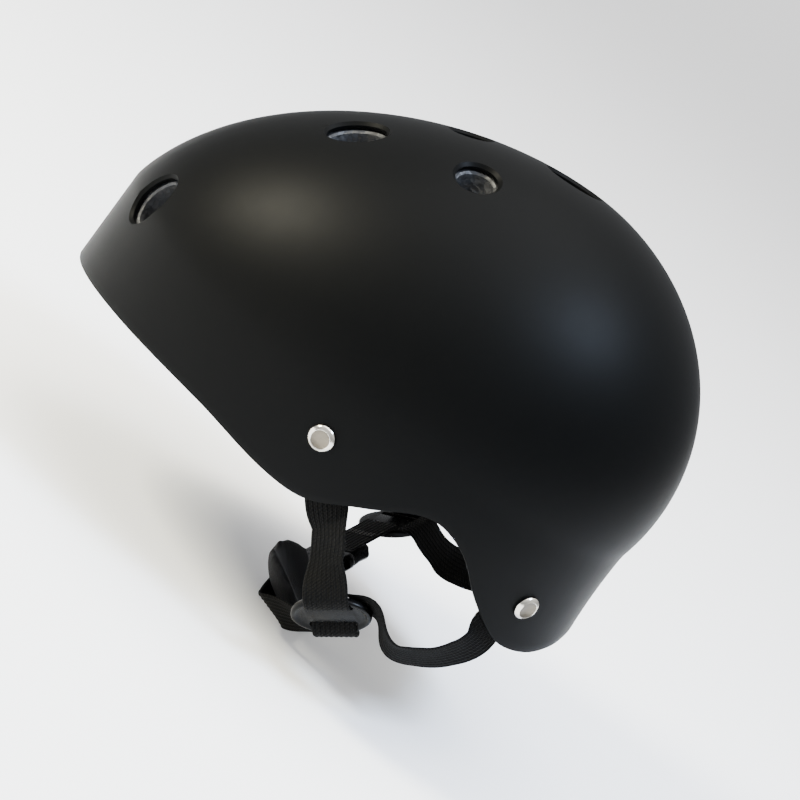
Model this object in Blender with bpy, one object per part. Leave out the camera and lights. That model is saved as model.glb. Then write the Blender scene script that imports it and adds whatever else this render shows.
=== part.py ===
"""Water helmet: hard shell, foam liner, comfort pads, riveted webbing harness, side-release buckle.

Metres, +Z up. The brow points towards -Y and the wearer's left side towards +X.
The origin lies in the symmetry plane, level with the bottoms of the temples.
"""
import math

import bmesh
import bpy
from mathutils import Matrix, Vector

MM = 0.001

# Outer surface of the shell
HALF_WIDTH = 106.8 * MM
FRONT_REACH = 152.0 * MM
REAR_REACH = 132.7 * MM
WIDEST_Y = 1.3 * MM
WIDEST_Z = 49.3 * MM
DOME_HEIGHT = 120.6 * MM
DOME_LEAN = 24.9 * MM
DOME_POWER = 1.9
SIDE_TUCK = 0.10
REAR_FLARE = 0.03
CROWN_Z = WIDEST_Z + DOME_HEIGHT

# Height of the rim at each azimuth in degrees, from the brow (0) round to the nape (180)
RIM = [
    (0, 2.0), (40, 5.0), (65, 5.0), (82, 0.5), (91, 2.5), (101, 16.0), (112, 30.0),
    (122, 25.0), (133, 8.0), (145, -5.5), (155, -6.5), (165, -1.5), (180, 6.5),
]

# Layers, measured inwards from the outer surface
SHELL_THICK = 3.0 * MM
LINER_INSET = 3.9 * MM
LINER_THICK = 13.0 * MM
PAD_INSET = 17.6 * MM
PAD_THICK = 5.0 * MM
LINER_LIFT = 5.0 * MM

# Vents: name, azimuth in degrees, then height, half length and half width in millimetres
VENTS = [
    ("brow_left", 27.0, 53.0, 13.5, 9.5),
    ("brow_right", -27.0, 53.0, 13.5, 9.5),
    ("top_left", 25.0, 131.0, 13.5, 9.5),
    ("top_right", -25.0, 131.0, 13.5, 9.5),
    ("side_left", 54.0, 150.0, 9.8, 9.5),
    ("side_right", -54.0, 150.0, 9.8, 9.5),
    ("crown_front", 0.0, 157.0, 9.8, 9.5),
    ("crown_rear", 0.0, 169.0, 13.5, 9.5),
]

# Webbing inside the shell on the left, as (azimuth in degrees, height in millimetres) down to the rim.
# The second place of each is its rivet.
FRONT_ROUTE = [(85.0, 40.0), (87.0, 31.0), (90.5, 18.0), (95.0, 5.0)]
REAR_ROUTE = [(146.0, 23.0), (145.0, 16.0), (143.8, 8.5), (142.2, 0.0)]
RIVET_HEAD_R = 6.2 * MM
RIVET_FLAT_R = 4.2 * MM
RIVET_HEAD_H = 2.0 * MM
RIVET_SHANK_R = 2.0 * MM
WASHER_R = 6.0 * MM
SLOPE_STEP = 0.5 * MM
RIVET_UNDER = 0.6 * MM
RIVET_EDGE = 0.5 * MM
RIVET_CHAMFER = 0.6 * MM
RIVET_DISH = 0.2 * MM
RIVET_TAIL = 0.6 * MM
WASHER_THICK = 1.0 * MM
GAP = 0.3 * MM
LATHE_SIDES = 24
HOLE_SIDES = 16

# How far the cutters reach inwards and outwards of the outer surface
VENT_CUT_IN = 24.0 * MM
VENT_CUT_OUT = 8.0 * MM
VENT_SIDES = 24
LINER_VENT_SHRINK = 0.8 * MM
RIVET_CUT_IN = 8.0 * MM
RIVET_CUT_OUT = 5.0 * MM
EYELET_CUT_IN = 12.0 * MM

# Crown pad
CROWN_PAD_BACK = 26.0 * MM
CROWN_PAD_DROP = 8.5 * MM
CROWN_PAD_AXIS = Vector((0.0, -0.27, -1.0))
CROWN_PAD_HALF_X = 22.0 * MM
CROWN_PAD_HALF_Y = 15.0 * MM
CROWN_PAD_SIDES = 20

# Webbing
WEB_WIDTH = 20.0 * MM
WEB_THICK = 1.6 * MM
WEB_DEPTH = SHELL_THICK + 1.0 * MM + WEB_THICK / 2
CHANNEL_WIDTH = 25.0 * MM
CHANNEL_DEPTH = 10.0 * MM
CHANNEL_LENGTH = 60.0 * MM
CHANNEL_BACK = 14.0 * MM
CHANNEL_CUT_OUT = 6.0 * MM
SIDE_STEPS = 5
CHIN_STEPS = 4

# Harness places, on the wearer's left
DIVIDER_AT = Vector((84.0, 44.0, -35.0)) * MM
DIVIDER_LONG = 36.0 * MM
DIVIDER_SHORT = 28.0 * MM
DIVIDER_THICK = 3.6 * MM
DIVIDER_RIM = 1.0 * MM
DIVIDER_LIP = 2.2 * MM
DIVIDER_SIDES = 40
DISH_SIDES = 32
SLOT_LOWS = (-8.6 * MM, 5.2 * MM)
SLOT_HIGH = 3.4 * MM
SLOT_ROOM = 0.6 * MM
SLOT_CUT = 6.0 * MM
BEHIND_ROOM = 0.2 * MM
PLATE_TILT = Vector((0.0, 0.77, 0.64))
PLATE_CHIN = Vector((-0.69, 0.457, -0.557))

# Webbing between the shell and the left divider, as (place, width direction)
FRONT_TURN = (Vector((93.0, 25.0, -11.0)) * MM, (0.40, 0.72, 0.52))
FRONT_END_CLEAR = 0.6 * MM
REAR_TURNS = [
    (Vector((60.6, 102.8, -9.0)) * MM, (-0.72, 0.68, -0.10)),
    (Vector((67.5, 97.0, -18.5)) * MM, (-0.78, 0.55, -0.30)),
    (Vector((76.0, 86.5, -25.0)) * MM, (-0.80, 0.40, -0.45)),
]
REAR_END_CLEAR = 8.0 * MM

# Chin webbing. Places behind the left divider are along its chin, long and normal axes.
CHIN_START = Vector((4.0, 0.0, 0.0)) * MM
CHIN_EDGE = Vector((13.0, 0.0, -1.6)) * MM
CHIN_TURN = Vector((20.5, -2.0, -7.0)) * MM
CHIN_TURN_WIDTH = (0.10, 0.86, 0.50)
CHIN_MIDDLE_WIDTH = (0.05, 0.98, 0.15)
CHIN_CUP_END = Vector((62.0, 1.5, 1.8)) * MM
CHIN_CUP_WIDTH = (0.05, 0.97, -0.22)
CHIN_RUN = (54.0 * MM, 40.0 * MM, 20.0 * MM, 3.0 * MM)
CHIN_AFTER_BEND = 2.5 * MM
CHIN_END_CLEAR = 1.2 * MM
RIGHT_START_CLEAR = 2.0 * MM
RIGHT_END_SHORT = 4.0 * MM
SLEEVE_SIDE_ROOM = 1.6 * MM
SLEEVE_FACE_ROOM = 1.1 * MM
CHIN_LEVEL = Vector((0.0, 0.94, -0.34)).normalized()
BEND_AT = Vector((-17.0, 22.0, -66.0)) * MM
PAD_LENGTH = 50.0 * MM
PAD_WIDTH = 43.0 * MM
CHIN_PAD_THICK = 9.0 * MM
PAD_CENTRE_X = 11.0 * MM
CUP_SIDES = 20
CUP_SQUARENESS = 0.6
CUT_PAST = 1.0 * MM

# Buckle, lengths along the strap
BUCKLE_WIDTH = 27.0 * MM
BUCKLE_THICK = 8.0 * MM
FEMALE_START = 6.0 * MM
FEMALE_LENGTH = 24.0 * MM
MALE_LENGTH = 13.0 * MM
CAVITY_DEPTH = 15.0 * MM
CAVITY_WIDTH = 22.0 * MM
CAVITY_THICK = 4.6 * MM
PRONG_LENGTH = 12.5 * MM
PRONG_WIDTH = 3.0 * MM
PRONG_THICK = 3.6 * MM
PRONG_OFFSET = 8.6 * MM
GUIDE_WIDTH = 5.0 * MM
BAR_LENGTH = 3.0 * MM
BAR_SLOT_LONG = 3.2 * MM
BAR_SLOT_ROOM = 0.5 * MM
HOUSING_CORNER = 3.0 * MM
HOUSING_BEVEL = 2.0 * MM
WINDOW_START = 1.2 * MM
WINDOW_END = 4.2 * MM
CLIP_NARROWER = 1.0 * MM
GUIDE_LENGTH = 11.0 * MM
GUIDE_HALF_THICK = 1.5 * MM
CLIP_CHANNEL_START = 1.4 * MM
CLIP_CHANNEL_ROOM = 0.5 * MM
SEAT_DEPTH = 1.0 * MM
SEAT_ROOM = 0.9 * MM
PRONG_ROOT = 0.7 * MM
PRONG_NECK = 5.0 * MM
PRONG_SHOULDER = 6.0 * MM
PRONG_TAPER = 3.0 * MM
PRONG_TIP_CUT = 1.0 * MM

BLACK_SHELL = (0.016, 0.017, 0.018)
BLACK_FOAM = (0.020, 0.020, 0.022)
BLACK_WEB = (0.035, 0.032, 0.029)
BLACK_PLASTIC = (0.014, 0.014, 0.015)
NICKEL = (0.72, 0.70, 0.66)

AZIMUTHS = 60
ROWS = 13


# ---------------------------------------------------------------- outer surface


def hermite(start, end, slope0, slope1, t):
    """Cubic between two values with the slopes at both ends, at t from 0 to 1."""
    h00 = 2 * t**3 - 3 * t**2 + 1
    h10 = t**3 - 2 * t**2 + t
    h01 = -2 * t**3 + 3 * t**2
    h11 = t**3 - t**2
    return start * h00 + slope0 * h10 + end * h01 + slope1 * h11


def rim_height(azimuth):
    """Smooth curve through the RIM heights, in metres."""
    a = abs((azimuth + 180.0) % 360.0 - 180.0)
    for i in range(len(RIM) - 1):
        a0, z0 = RIM[i]
        a1, z1 = RIM[i + 1]
        if a <= a1:
            before = RIM[i - 1] if i > 0 else (-RIM[1][0], RIM[1][1])
            after = RIM[i + 2] if i + 2 < len(RIM) else (360 - RIM[i][0], RIM[i][1])
            slope0 = (z1 - before[1]) / (a1 - before[0])
            slope1 = (after[1] - z0) / (after[0] - a0)
            span = a1 - a0
            return hermite(z0, z1, slope0 * span, slope1 * span, (a - a0) / span) * MM
    return RIM[-1][1] * MM


def surface(azimuth, height):
    """Point of the outer surface at an azimuth (0 at the brow, positive to the left) and a height."""
    a = math.radians(azimuth)
    up = min(max((height - WIDEST_Z) / DOME_HEIGHT, 0.0), 1.0)
    down = max((WIDEST_Z - height) / WIDEST_Z, 0.0)
    size = (1 - up**DOME_POWER) ** (1 / DOME_POWER)
    rear = max(-math.cos(a), 0.0) ** 2
    size += down**2 * (REAR_FLARE * rear - SIDE_TUCK * math.sin(a) ** 2)
    reach = FRONT_REACH if math.cos(a) > 0 else REAR_REACH
    x = HALF_WIDTH * math.sin(a) * size
    y = WIDEST_Y - reach * math.cos(a) * size + DOME_LEAN * up
    return Vector((x, y, height))


def surface_frame(azimuth, height):
    """Point, tangent towards the crown and outward normal of the outer surface."""
    step = 0.5
    lift = SLOPE_STEP
    point = surface(azimuth, height)
    along = surface(azimuth + step, height) - surface(azimuth - step, height)
    upwards = surface(azimuth, min(height + lift, CROWN_Z)) - surface(azimuth, height - lift)
    normal = along.cross(upwards).normalized()
    if normal.dot(point - Vector((0, 0, WIDEST_Z))) < 0:
        normal = -normal
    return point, upwards.normalized(), normal


# ---------------------------------------------------------------- scene helpers


def clear_scene():
    for thing in list(bpy.data.objects):
        bpy.data.objects.remove(thing, do_unlink=True)


def material(name, colour, roughness, metallic=0.0):
    found = bpy.data.materials.get(name)
    if found:
        return found
    made = bpy.data.materials.new(name)
    made.use_nodes = True
    shader = made.node_tree.nodes["Principled BSDF"]
    shader.inputs["Base Color"].default_value = (*colour, 1.0)
    shader.inputs["Roughness"].default_value = roughness
    shader.inputs["Metallic"].default_value = metallic
    return made


def add_object(name, bm, look):
    bmesh.ops.recalc_face_normals(bm, faces=bm.faces)
    mesh = bpy.data.meshes.new(name)
    bm.to_mesh(mesh)
    bm.free()
    thing = bpy.data.objects.new(name, mesh)
    bpy.context.scene.collection.objects.link(thing)
    mesh.materials.append(look)
    return thing


def set_origin(thing, place):
    """Moves the object's origin to a point and keeps its mesh where it is."""
    thing.data.transform(Matrix.Translation(-place))
    thing.location = place


def cut(thing, cutter):
    cutter.hide_render = True
    cutter.display_type = "WIRE"
    step = thing.modifiers.new("cut_" + cutter.name, "BOOLEAN")
    step.operation = "DIFFERENCE"
    step.object = cutter


def apply_cuts(thing, cutters):
    """Cuts every cutter out of the object and removes the cutters."""
    for cutter in cutters:
        cut(thing, cutter)
    graph = bpy.context.evaluated_depsgraph_get()
    mesh = bpy.data.meshes.new_from_object(thing.evaluated_get(graph))
    thing.modifiers.clear()
    thing.data = mesh
    for cutter in cutters:
        bpy.data.objects.remove(cutter, do_unlink=True)


def prism(name, outline, frame, low, high, look):
    """Extrudes a flat outline of (x, y) along the frame's z axis, from low to high."""
    bm = bmesh.new()
    rings = [[bm.verts.new(frame @ Vector((x, y, z))) for x, y in outline] for z in (low, high)]
    count = len(outline)
    bm.faces.new(rings[0])
    bm.faces.new(rings[1])
    for i in range(count):
        j = (i + 1) % count
        bm.faces.new((rings[0][i], rings[0][j], rings[1][j], rings[1][i]))
    return add_object(name, bm, look)


def oval(half_x, half_y, count):
    turn = 2 * math.pi / count
    return [(half_x * math.cos(i * turn), half_y * math.sin(i * turn)) for i in range(count)]


def rectangle(x0, x1, y0, y1):
    return [(x0, y0), (x1, y0), (x1, y1), (x0, y1)]


def axes_frame(origin, x_axis, z_axis):
    """Frame with its z axis along z_axis and its x axis as near x_axis as it can be."""
    z = z_axis.normalized()
    x = (x_axis - z * x_axis.dot(z)).normalized()
    y = z.cross(x)
    return Matrix.Translation(origin) @ Matrix((x, y, z)).transposed().to_4x4()


def revolved(name, profile, frame, count, look):
    """Turns a closed (radius, height) profile about the frame's z axis. Radius 0 makes a pole."""
    bm = bmesh.new()
    rings = []
    for radius, height in profile:
        if radius == 0:
            rings.append([bm.verts.new(frame @ Vector((0, 0, height)))])
        else:
            outline = oval(radius, radius, count)
            rings.append([bm.verts.new(frame @ Vector((x, y, height))) for x, y in outline])
    closed = profile[0][0] != 0
    pairs = list(zip(rings, rings[1:]))
    if closed:
        pairs.append((rings[-1], rings[0]))
    for lower, upper in pairs:
        for i in range(count):
            j = (i + 1) % count
            if len(lower) == 1:
                bm.faces.new((lower[0], upper[i], upper[j]))
            elif len(upper) == 1:
                bm.faces.new((lower[i], lower[j], upper[0]))
            else:
                bm.faces.new((lower[i], lower[j], upper[j], upper[i]))
    return add_object(name, bm, look)


def ribbon(name, stations, steps, look):
    """Lofts webbing through (point, width direction) stations with square ends."""
    points = [Vector(p) for p, _ in stations]
    sides = [Vector(w).normalized() for _, w in stations]
    path = []
    for i in range(len(points) - 1):
        before = points[max(i - 1, 0)]
        after = points[min(i + 2, len(points) - 1)]
        slope0 = (points[i + 1] - before) * 0.5
        slope1 = (after - points[i]) * 0.5
        last = steps + 1 if i == len(points) - 2 else steps
        for k in range(last):
            t = k / steps
            here = hermite(points[i], points[i + 1], slope0, slope1, t)
            path.append((here, sides[i].lerp(sides[i + 1], t).normalized()))
    bm = bmesh.new()
    rings = []
    for i, (here, side) in enumerate(path):
        ahead = path[min(i + 1, len(path) - 1)][0] - path[max(i - 1, 0)][0]
        ahead.normalize()
        across = (side - ahead * side.dot(ahead)).normalized() * WEB_WIDTH / 2
        normal = ahead.cross(across).normalized() * WEB_THICK / 2
        corners = (across + normal, -across + normal, -across - normal, across - normal)
        rings.append([bm.verts.new(here + c) for c in corners])
    bm.faces.new(rings[0])
    bm.faces.new(rings[-1])
    for lower, upper in zip(rings, rings[1:]):
        for i in range(4):
            j = (i + 1) % 4
            bm.faces.new((lower[i], lower[j], upper[j], upper[i]))
    return add_object(name, bm, look)


def mirrored(point):
    return Vector((-point.x, point.y, point.z))


# ---------------------------------------------------------------- shell and liner


def dome(name, inset, thick, lift, look):
    """Closed cap between two offsets of the outer surface, open at the bottom."""
    rings = []
    for k in range(AZIMUTHS):
        azimuth = 360.0 * k / AZIMUTHS
        low = rim_height(azimuth) + lift
        column = []
        for row in range(ROWS):
            height = low + (CROWN_Z - low) * math.sin(math.pi / 2 * row / ROWS)
            point, _, normal = surface_frame(azimuth, height)
            column.append((point - normal * inset, point - normal * (inset + thick)))
        rings.append(column)
    bm = bmesh.new()
    crown = surface(0, CROWN_Z)
    sheets = []
    for layer, depth in ((0, inset), (1, inset + thick)):
        grid = [[bm.verts.new(column[row][layer]) for row in range(ROWS)] for column in rings]
        pole = bm.verts.new(crown - Vector((0, 0, depth)))
        sheets.append(grid)
        for k in range(AZIMUTHS):
            here = grid[k]
            beside = grid[(k + 1) % AZIMUTHS]
            for row in range(ROWS - 1):
                bm.faces.new((here[row], beside[row], beside[row + 1], here[row + 1]))
            bm.faces.new((here[-1], beside[-1], pole))
    for k in range(AZIMUTHS):
        j = (k + 1) % AZIMUTHS
        bm.faces.new((sheets[0][k][0], sheets[0][j][0], sheets[1][j][0], sheets[1][k][0]))
    return add_object(name, bm, look)


def vent_cutter(name, azimuth, height, half_length, half_width, shrink, look):
    point, upwards, normal = surface_frame(azimuth, height * MM)
    frame = axes_frame(point, upwards, normal)
    outline = oval(half_length * MM - shrink, half_width * MM - shrink, VENT_SIDES)
    return prism("cut_" + name, outline, frame, -VENT_CUT_IN, VENT_CUT_OUT, look)


def build_shell(look):
    shell = dome("outer_shell", 0.0, SHELL_THICK, 0.0, look)
    cutters = [vent_cutter(*vent, 0.0, look) for vent in VENTS]
    for name, frame in rivet_frames():
        outline = oval(RIVET_SHANK_R + GAP, RIVET_SHANK_R + GAP, HOLE_SIDES)
        cutters.append(prism("cut_rivet_" + name, outline, frame, -RIVET_CUT_IN, RIVET_CUT_OUT, look))
    apply_cuts(shell, cutters)
    return shell


def build_liner(look):
    liner = dome("foam_liner", LINER_INSET, LINER_THICK, LINER_LIFT, look)
    cutters = [vent_cutter(*vent, LINER_VENT_SHRINK, look) for vent in VENTS]
    for name, frame in rivet_frames():
        half = CHANNEL_WIDTH / 2
        outline = rectangle(-CHANNEL_BACK, CHANNEL_LENGTH, -half, half)
        cutters.append(prism("cut_channel_" + name, outline, frame, -CHANNEL_DEPTH, CHANNEL_CUT_OUT, look))
    apply_cuts(liner, cutters)
    return liner


def pad(name, azimuths, heights, look):
    """Comfort pad on the liner's inner face, between two azimuths and two heights."""
    columns = 7
    rows = 4
    bm = bmesh.new()
    layers = []
    for depth in (PAD_INSET, PAD_INSET + PAD_THICK):
        grid = []
        for k in range(columns):
            azimuth = azimuths[0] + (azimuths[1] - azimuths[0]) * k / (columns - 1)
            column = []
            for row in range(rows):
                height = (heights[0] + (heights[1] - heights[0]) * row / (rows - 1)) * MM
                point, _, normal = surface_frame(azimuth, height)
                column.append(bm.verts.new(point - normal * depth))
            grid.append(column)
        layers.append(grid)
    for grid in layers:
        for k in range(columns - 1):
            for row in range(rows - 1):
                bm.faces.new((grid[k][row], grid[k + 1][row], grid[k + 1][row + 1], grid[k][row + 1]))
    edge = [(k, 0) for k in range(columns)]
    edge += [(columns - 1, row) for row in range(1, rows)]
    edge += [(k, rows - 1) for k in range(columns - 2, -1, -1)]
    edge += [(0, row) for row in range(rows - 2, 0, -1)]
    for (k0, r0), (k1, r1) in zip(edge, edge[1:] + edge[:1]):
        bm.faces.new((layers[0][k0][r0], layers[0][k1][r1], layers[1][k1][r1], layers[1][k0][r0]))
    return add_object(name, bm, look)


def build_crown_pad(look):
    """Round pad under the crown, flat so that it clears the domed liner."""
    centre = Vector((0, WIDEST_Y + DOME_LEAN + CROWN_PAD_BACK, CROWN_Z - PAD_INSET - CROWN_PAD_DROP))
    frame = axes_frame(centre, Vector((1, 0, 0)), CROWN_PAD_AXIS)
    outline = oval(CROWN_PAD_HALF_X, CROWN_PAD_HALF_Y, CROWN_PAD_SIDES)
    return prism("pad_crown", outline, frame, 0.0, PAD_THICK, look)


# ---------------------------------------------------------------- rivets and webbing


def rivet_frames():
    """Names and frames of the rivets: z outwards, x along the webbing towards the rim."""
    frames = []
    for end, route in (("front", FRONT_ROUTE), ("rear", REAR_ROUTE)):
        for side, sign in (("left", 1), ("right", -1)):
            azimuth, height = route[1]
            point, _, normal = surface_frame(sign * azimuth, height * MM)
            ahead = surface(sign * route[2][0], route[2][1] * MM) - point
            frames.append((end + "_" + side, axes_frame(point, ahead, normal)))
    return frames


def build_rivets(look):
    inner = -(WEB_DEPTH + WEB_THICK / 2 + GAP)
    reach = WASHER_THICK - inner
    for name, frame in rivet_frames():
        under = RIVET_UNDER
        head = under + RIVET_HEAD_H
        profile = [
            (0, -reach - RIVET_TAIL),
            (RIVET_SHANK_R, -reach - RIVET_TAIL),
            (RIVET_SHANK_R, under),
            (RIVET_HEAD_R, under),
            (RIVET_HEAD_R, under + RIVET_EDGE),
            (RIVET_FLAT_R + RIVET_CHAMFER, head),
            (RIVET_FLAT_R, head - RIVET_DISH),
            (0, head - RIVET_DISH),
        ]
        revolved("rivet_" + name, profile, frame, LATHE_SIDES, look)
        hole = RIVET_SHANK_R + GAP
        ring = [
            (hole, inner - WASHER_THICK),
            (WASHER_R, inner - WASHER_THICK),
            (WASHER_R, inner),
            (hole, inner),
        ]
        revolved("washer_" + name, ring, frame, LATHE_SIDES, look)


def web_hole(thing, name, look):
    """Punches the eyelet for the rivet's shank."""
    frame = dict(rivet_frames())[name]
    outline = oval(RIVET_SHANK_R + GAP, RIVET_SHANK_R + GAP, HOLE_SIDES)
    hole = prism("cut_eyelet", outline, frame, -EYELET_CUT_IN, 0.0, look)
    apply_cuts(thing, [hole])


def route_stations(route):
    """Stations of the webbing behind the shell, flat against it."""
    places = [surface(azimuth, height * MM) for azimuth, height in route]
    stations = []
    for i, (azimuth, height) in enumerate(route):
        point, _, normal = surface_frame(azimuth, height * MM)
        ahead = places[min(i + 1, len(route) - 1)] - places[max(i - 1, 0)]
        stations.append((point - normal * WEB_DEPTH, normal.cross(ahead).normalized()))
    return stations


def front_strap_stations():
    stations = route_stations(FRONT_ROUTE)
    stations.append(FRONT_TURN)
    stations.append((divider_top_edge(), divider_axes()[0]))
    return stations


def divider_axes():
    """Long axis, axis towards the chin and outward normal of the left divider."""
    long_axis = PLATE_TILT.normalized()
    chin_axis = (PLATE_CHIN - long_axis * PLATE_CHIN.dot(long_axis)).normalized()
    return long_axis, chin_axis, chin_axis.cross(long_axis)


def divider_top_edge():
    _, chin_axis, _ = divider_axes()
    return DIVIDER_AT - chin_axis * (DIVIDER_SHORT / 2 + FRONT_END_CLEAR)


def rear_strap_stations():
    long_axis, chin_axis, _ = divider_axes()
    end = DIVIDER_AT + long_axis * (DIVIDER_LONG / 2 + REAR_END_CLEAR)
    stations = route_stations(REAR_ROUTE)
    if stations[-1][1].dot(chin_axis) < 0:
        stations = [(place, -width) for place, width in stations]
    return stations + REAR_TURNS + [(end, chin_axis)]


def build_side_straps(side, look):
    flip = mirrored if side == "right" else Vector
    front = [(flip(Vector(place)), flip(Vector(width))) for place, width in front_strap_stations()]
    strap = ribbon("strap_front_" + side, front, SIDE_STEPS, look)
    web_hole(strap, "front_" + side, look)
    rear = [(flip(Vector(place)), flip(Vector(width))) for place, width in rear_strap_stations()]
    strap = ribbon("strap_rear_" + side, rear, SIDE_STEPS, look)
    web_hole(strap, "rear_" + side, look)


# ---------------------------------------------------------------- dividers and chin harness


def right_axes():
    """Axis from the right divider to the chin, its width axis and its outward normal."""
    chin_axis = (BEND_AT - mirrored(DIVIDER_AT)).normalized()
    width = (PLATE_TILT - chin_axis * PLATE_TILT.dot(chin_axis)).normalized()
    return chin_axis, width, width.cross(chin_axis)


def build_divider(side, look):
    """Oval plate with a raised rim and two webbing slots."""
    if side == "left":
        long_axis, chin_axis, normal = divider_axes()
        centre = DIVIDER_AT
    else:
        chin_axis, long_axis, normal = right_axes()
        centre = mirrored(DIVIDER_AT)
    if normal.dot(centre) < 0:
        normal = -normal
    frame = Matrix.Translation(centre) @ Matrix((long_axis, chin_axis, normal)).transposed().to_4x4()
    plate = prism(
        "strap_divider_" + side, oval(DIVIDER_LONG / 2, DIVIDER_SHORT / 2, DIVIDER_SIDES), frame,
        -DIVIDER_THICK / 2, DIVIDER_THICK / 2, look,
    )
    inner = oval(DIVIDER_LONG / 2 - DIVIDER_LIP, DIVIDER_SHORT / 2 - DIVIDER_LIP, DISH_SIDES)
    cutters = [prism("cut_dish", inner, frame, DIVIDER_THICK / 2 - DIVIDER_RIM, SLOT_CUT, look)]
    half = WEB_WIDTH / 2 + SLOT_ROOM
    for i, low in enumerate(SLOT_LOWS):
        outline = rectangle(-half, half, low, low + SLOT_HIGH)
        cutters.append(prism("cut_slot_" + str(i), outline, frame, -SLOT_CUT, SLOT_CUT, look))
    apply_cuts(plate, cutters)
    set_origin(plate, centre)
    return plate


def chin_strap_left_stations():
    long_axis, chin_axis, normal = divider_axes()
    if normal.dot(DIVIDER_AT) < 0:
        normal = -normal
    plate = Matrix((chin_axis, long_axis, normal)).transposed()
    behind = DIVIDER_AT - normal * (DIVIDER_THICK / 2 + GAP + WEB_THICK / 2 + BEHIND_ROOM)
    turn = DIVIDER_AT + plate @ CHIN_TURN
    cup_end = BEND_AT + CHIN_CUP_END
    right_chin, right_width, _ = right_axes()
    stations = [
        (behind + plate @ CHIN_START, long_axis),
        (behind + plate @ CHIN_EDGE, long_axis),
        (turn, CHIN_TURN_WIDTH),
        (turn.lerp(cup_end, 0.5), CHIN_MIDDLE_WIDTH),
        (cup_end, CHIN_CUP_WIDTH),
    ]
    stations += [(BEND_AT + Vector((x, 0, 0)), CHIN_LEVEL) for x in CHIN_RUN]
    stations.append((BEND_AT - right_chin * CHIN_AFTER_BEND, right_width))
    stations.append((BEND_AT - right_chin * (FEMALE_START - CHIN_END_CLEAR), right_width))
    return stations


def buckle_frame():
    """z runs along the right strap from the chin to the divider, x across it, y through it."""
    chin_axis, width, _ = right_axes()
    return axes_frame(BEND_AT, width, -chin_axis)


def build_chin_strap_right(look):
    frame = buckle_frame()
    half = WEB_WIDTH / 2
    length = (mirrored(DIVIDER_AT) - BEND_AT).length
    start = FEMALE_START + FEMALE_LENGTH + RIGHT_START_CLEAR
    shift = DIVIDER_THICK / 2 + GAP + WEB_THICK / 2 + BEHIND_ROOM
    side = -1 if (frame.to_3x3() @ Vector((0, 1, 0))).dot(mirrored(DIVIDER_AT)) > 0 else 1
    centre = side * shift
    outline = rectangle(-half, half, centre - WEB_THICK / 2, centre + WEB_THICK / 2)
    return prism("chin_strap_right", outline, frame, start, length - RIGHT_END_SHORT, look), centre


def build_chin_pad(look):
    """Soft cup with a sleeve through which the chin strap runs."""
    frame = axes_frame(BEND_AT, CHIN_LEVEL, Vector((1, 0, 0)))
    half_wide = PAD_WIDTH / 2
    half_thick = CHIN_PAD_THICK / 2
    start = PAD_CENTRE_X - PAD_LENGTH / 2 - BEND_AT.x
    outline = []
    for i in range(CUP_SIDES):
        turn = 2 * math.pi * i / CUP_SIDES
        x = half_wide * math.copysign(abs(math.cos(turn)) ** CUP_SQUARENESS, math.cos(turn))
        y = half_thick * math.copysign(abs(math.sin(turn)) ** CUP_SQUARENESS, math.sin(turn))
        outline.append((x, y))
    body = prism("chin_pad", outline, frame, start, start + PAD_LENGTH, look)
    half = WEB_WIDTH / 2 + SLEEVE_SIDE_ROOM
    room = WEB_THICK / 2 + SLEEVE_FACE_ROOM
    sleeve = rectangle(-half, half, -room, room)
    low = start - CUT_PAST
    high = start + PAD_LENGTH + CUT_PAST
    apply_cuts(body, [prism("cut_sleeve", sleeve, frame, low, high, look)])
    set_origin(body, Vector((PAD_CENTRE_X, BEND_AT.y, BEND_AT.z)))
    return body


def build_buckle_female(look):
    frame = buckle_frame()
    low = FEMALE_START
    high = low + FEMALE_LENGTH
    half = BUCKLE_WIDTH / 2
    thick = BUCKLE_THICK / 2
    wide = half - HOUSING_CORNER
    flank = thick - HOUSING_BEVEL
    outline = [
        (-wide, -thick), (wide, -thick), (half, -flank), (half, flank),
        (wide, thick), (-wide, thick), (-half, flank), (-half, -flank),
    ]
    body = prism("buckle_female", outline, frame, low, high, look)
    cavity = rectangle(-CAVITY_WIDTH / 2, CAVITY_WIDTH / 2, -CAVITY_THICK / 2, CAVITY_THICK / 2)
    slot_half = WEB_WIDTH / 2 + BAR_SLOT_ROOM
    slot = rectangle(-slot_half, slot_half, -2 * thick, 2 * thick)
    window = rectangle(-half - CUT_PAST, half + CUT_PAST, -CAVITY_THICK / 2, CAVITY_THICK / 2)
    inner = high - CAVITY_DEPTH
    bar = low + BAR_LENGTH
    cutters = [
        prism("cut_cavity", cavity, frame, inner, high + CUT_PAST, look),
        prism("cut_bar_slot", slot, frame, bar, bar + BAR_SLOT_LONG, look),
        prism("cut_window", window, frame, inner + WINDOW_START, high - WINDOW_END, look),
    ]
    apply_cuts(body, cutters)
    return body


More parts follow.
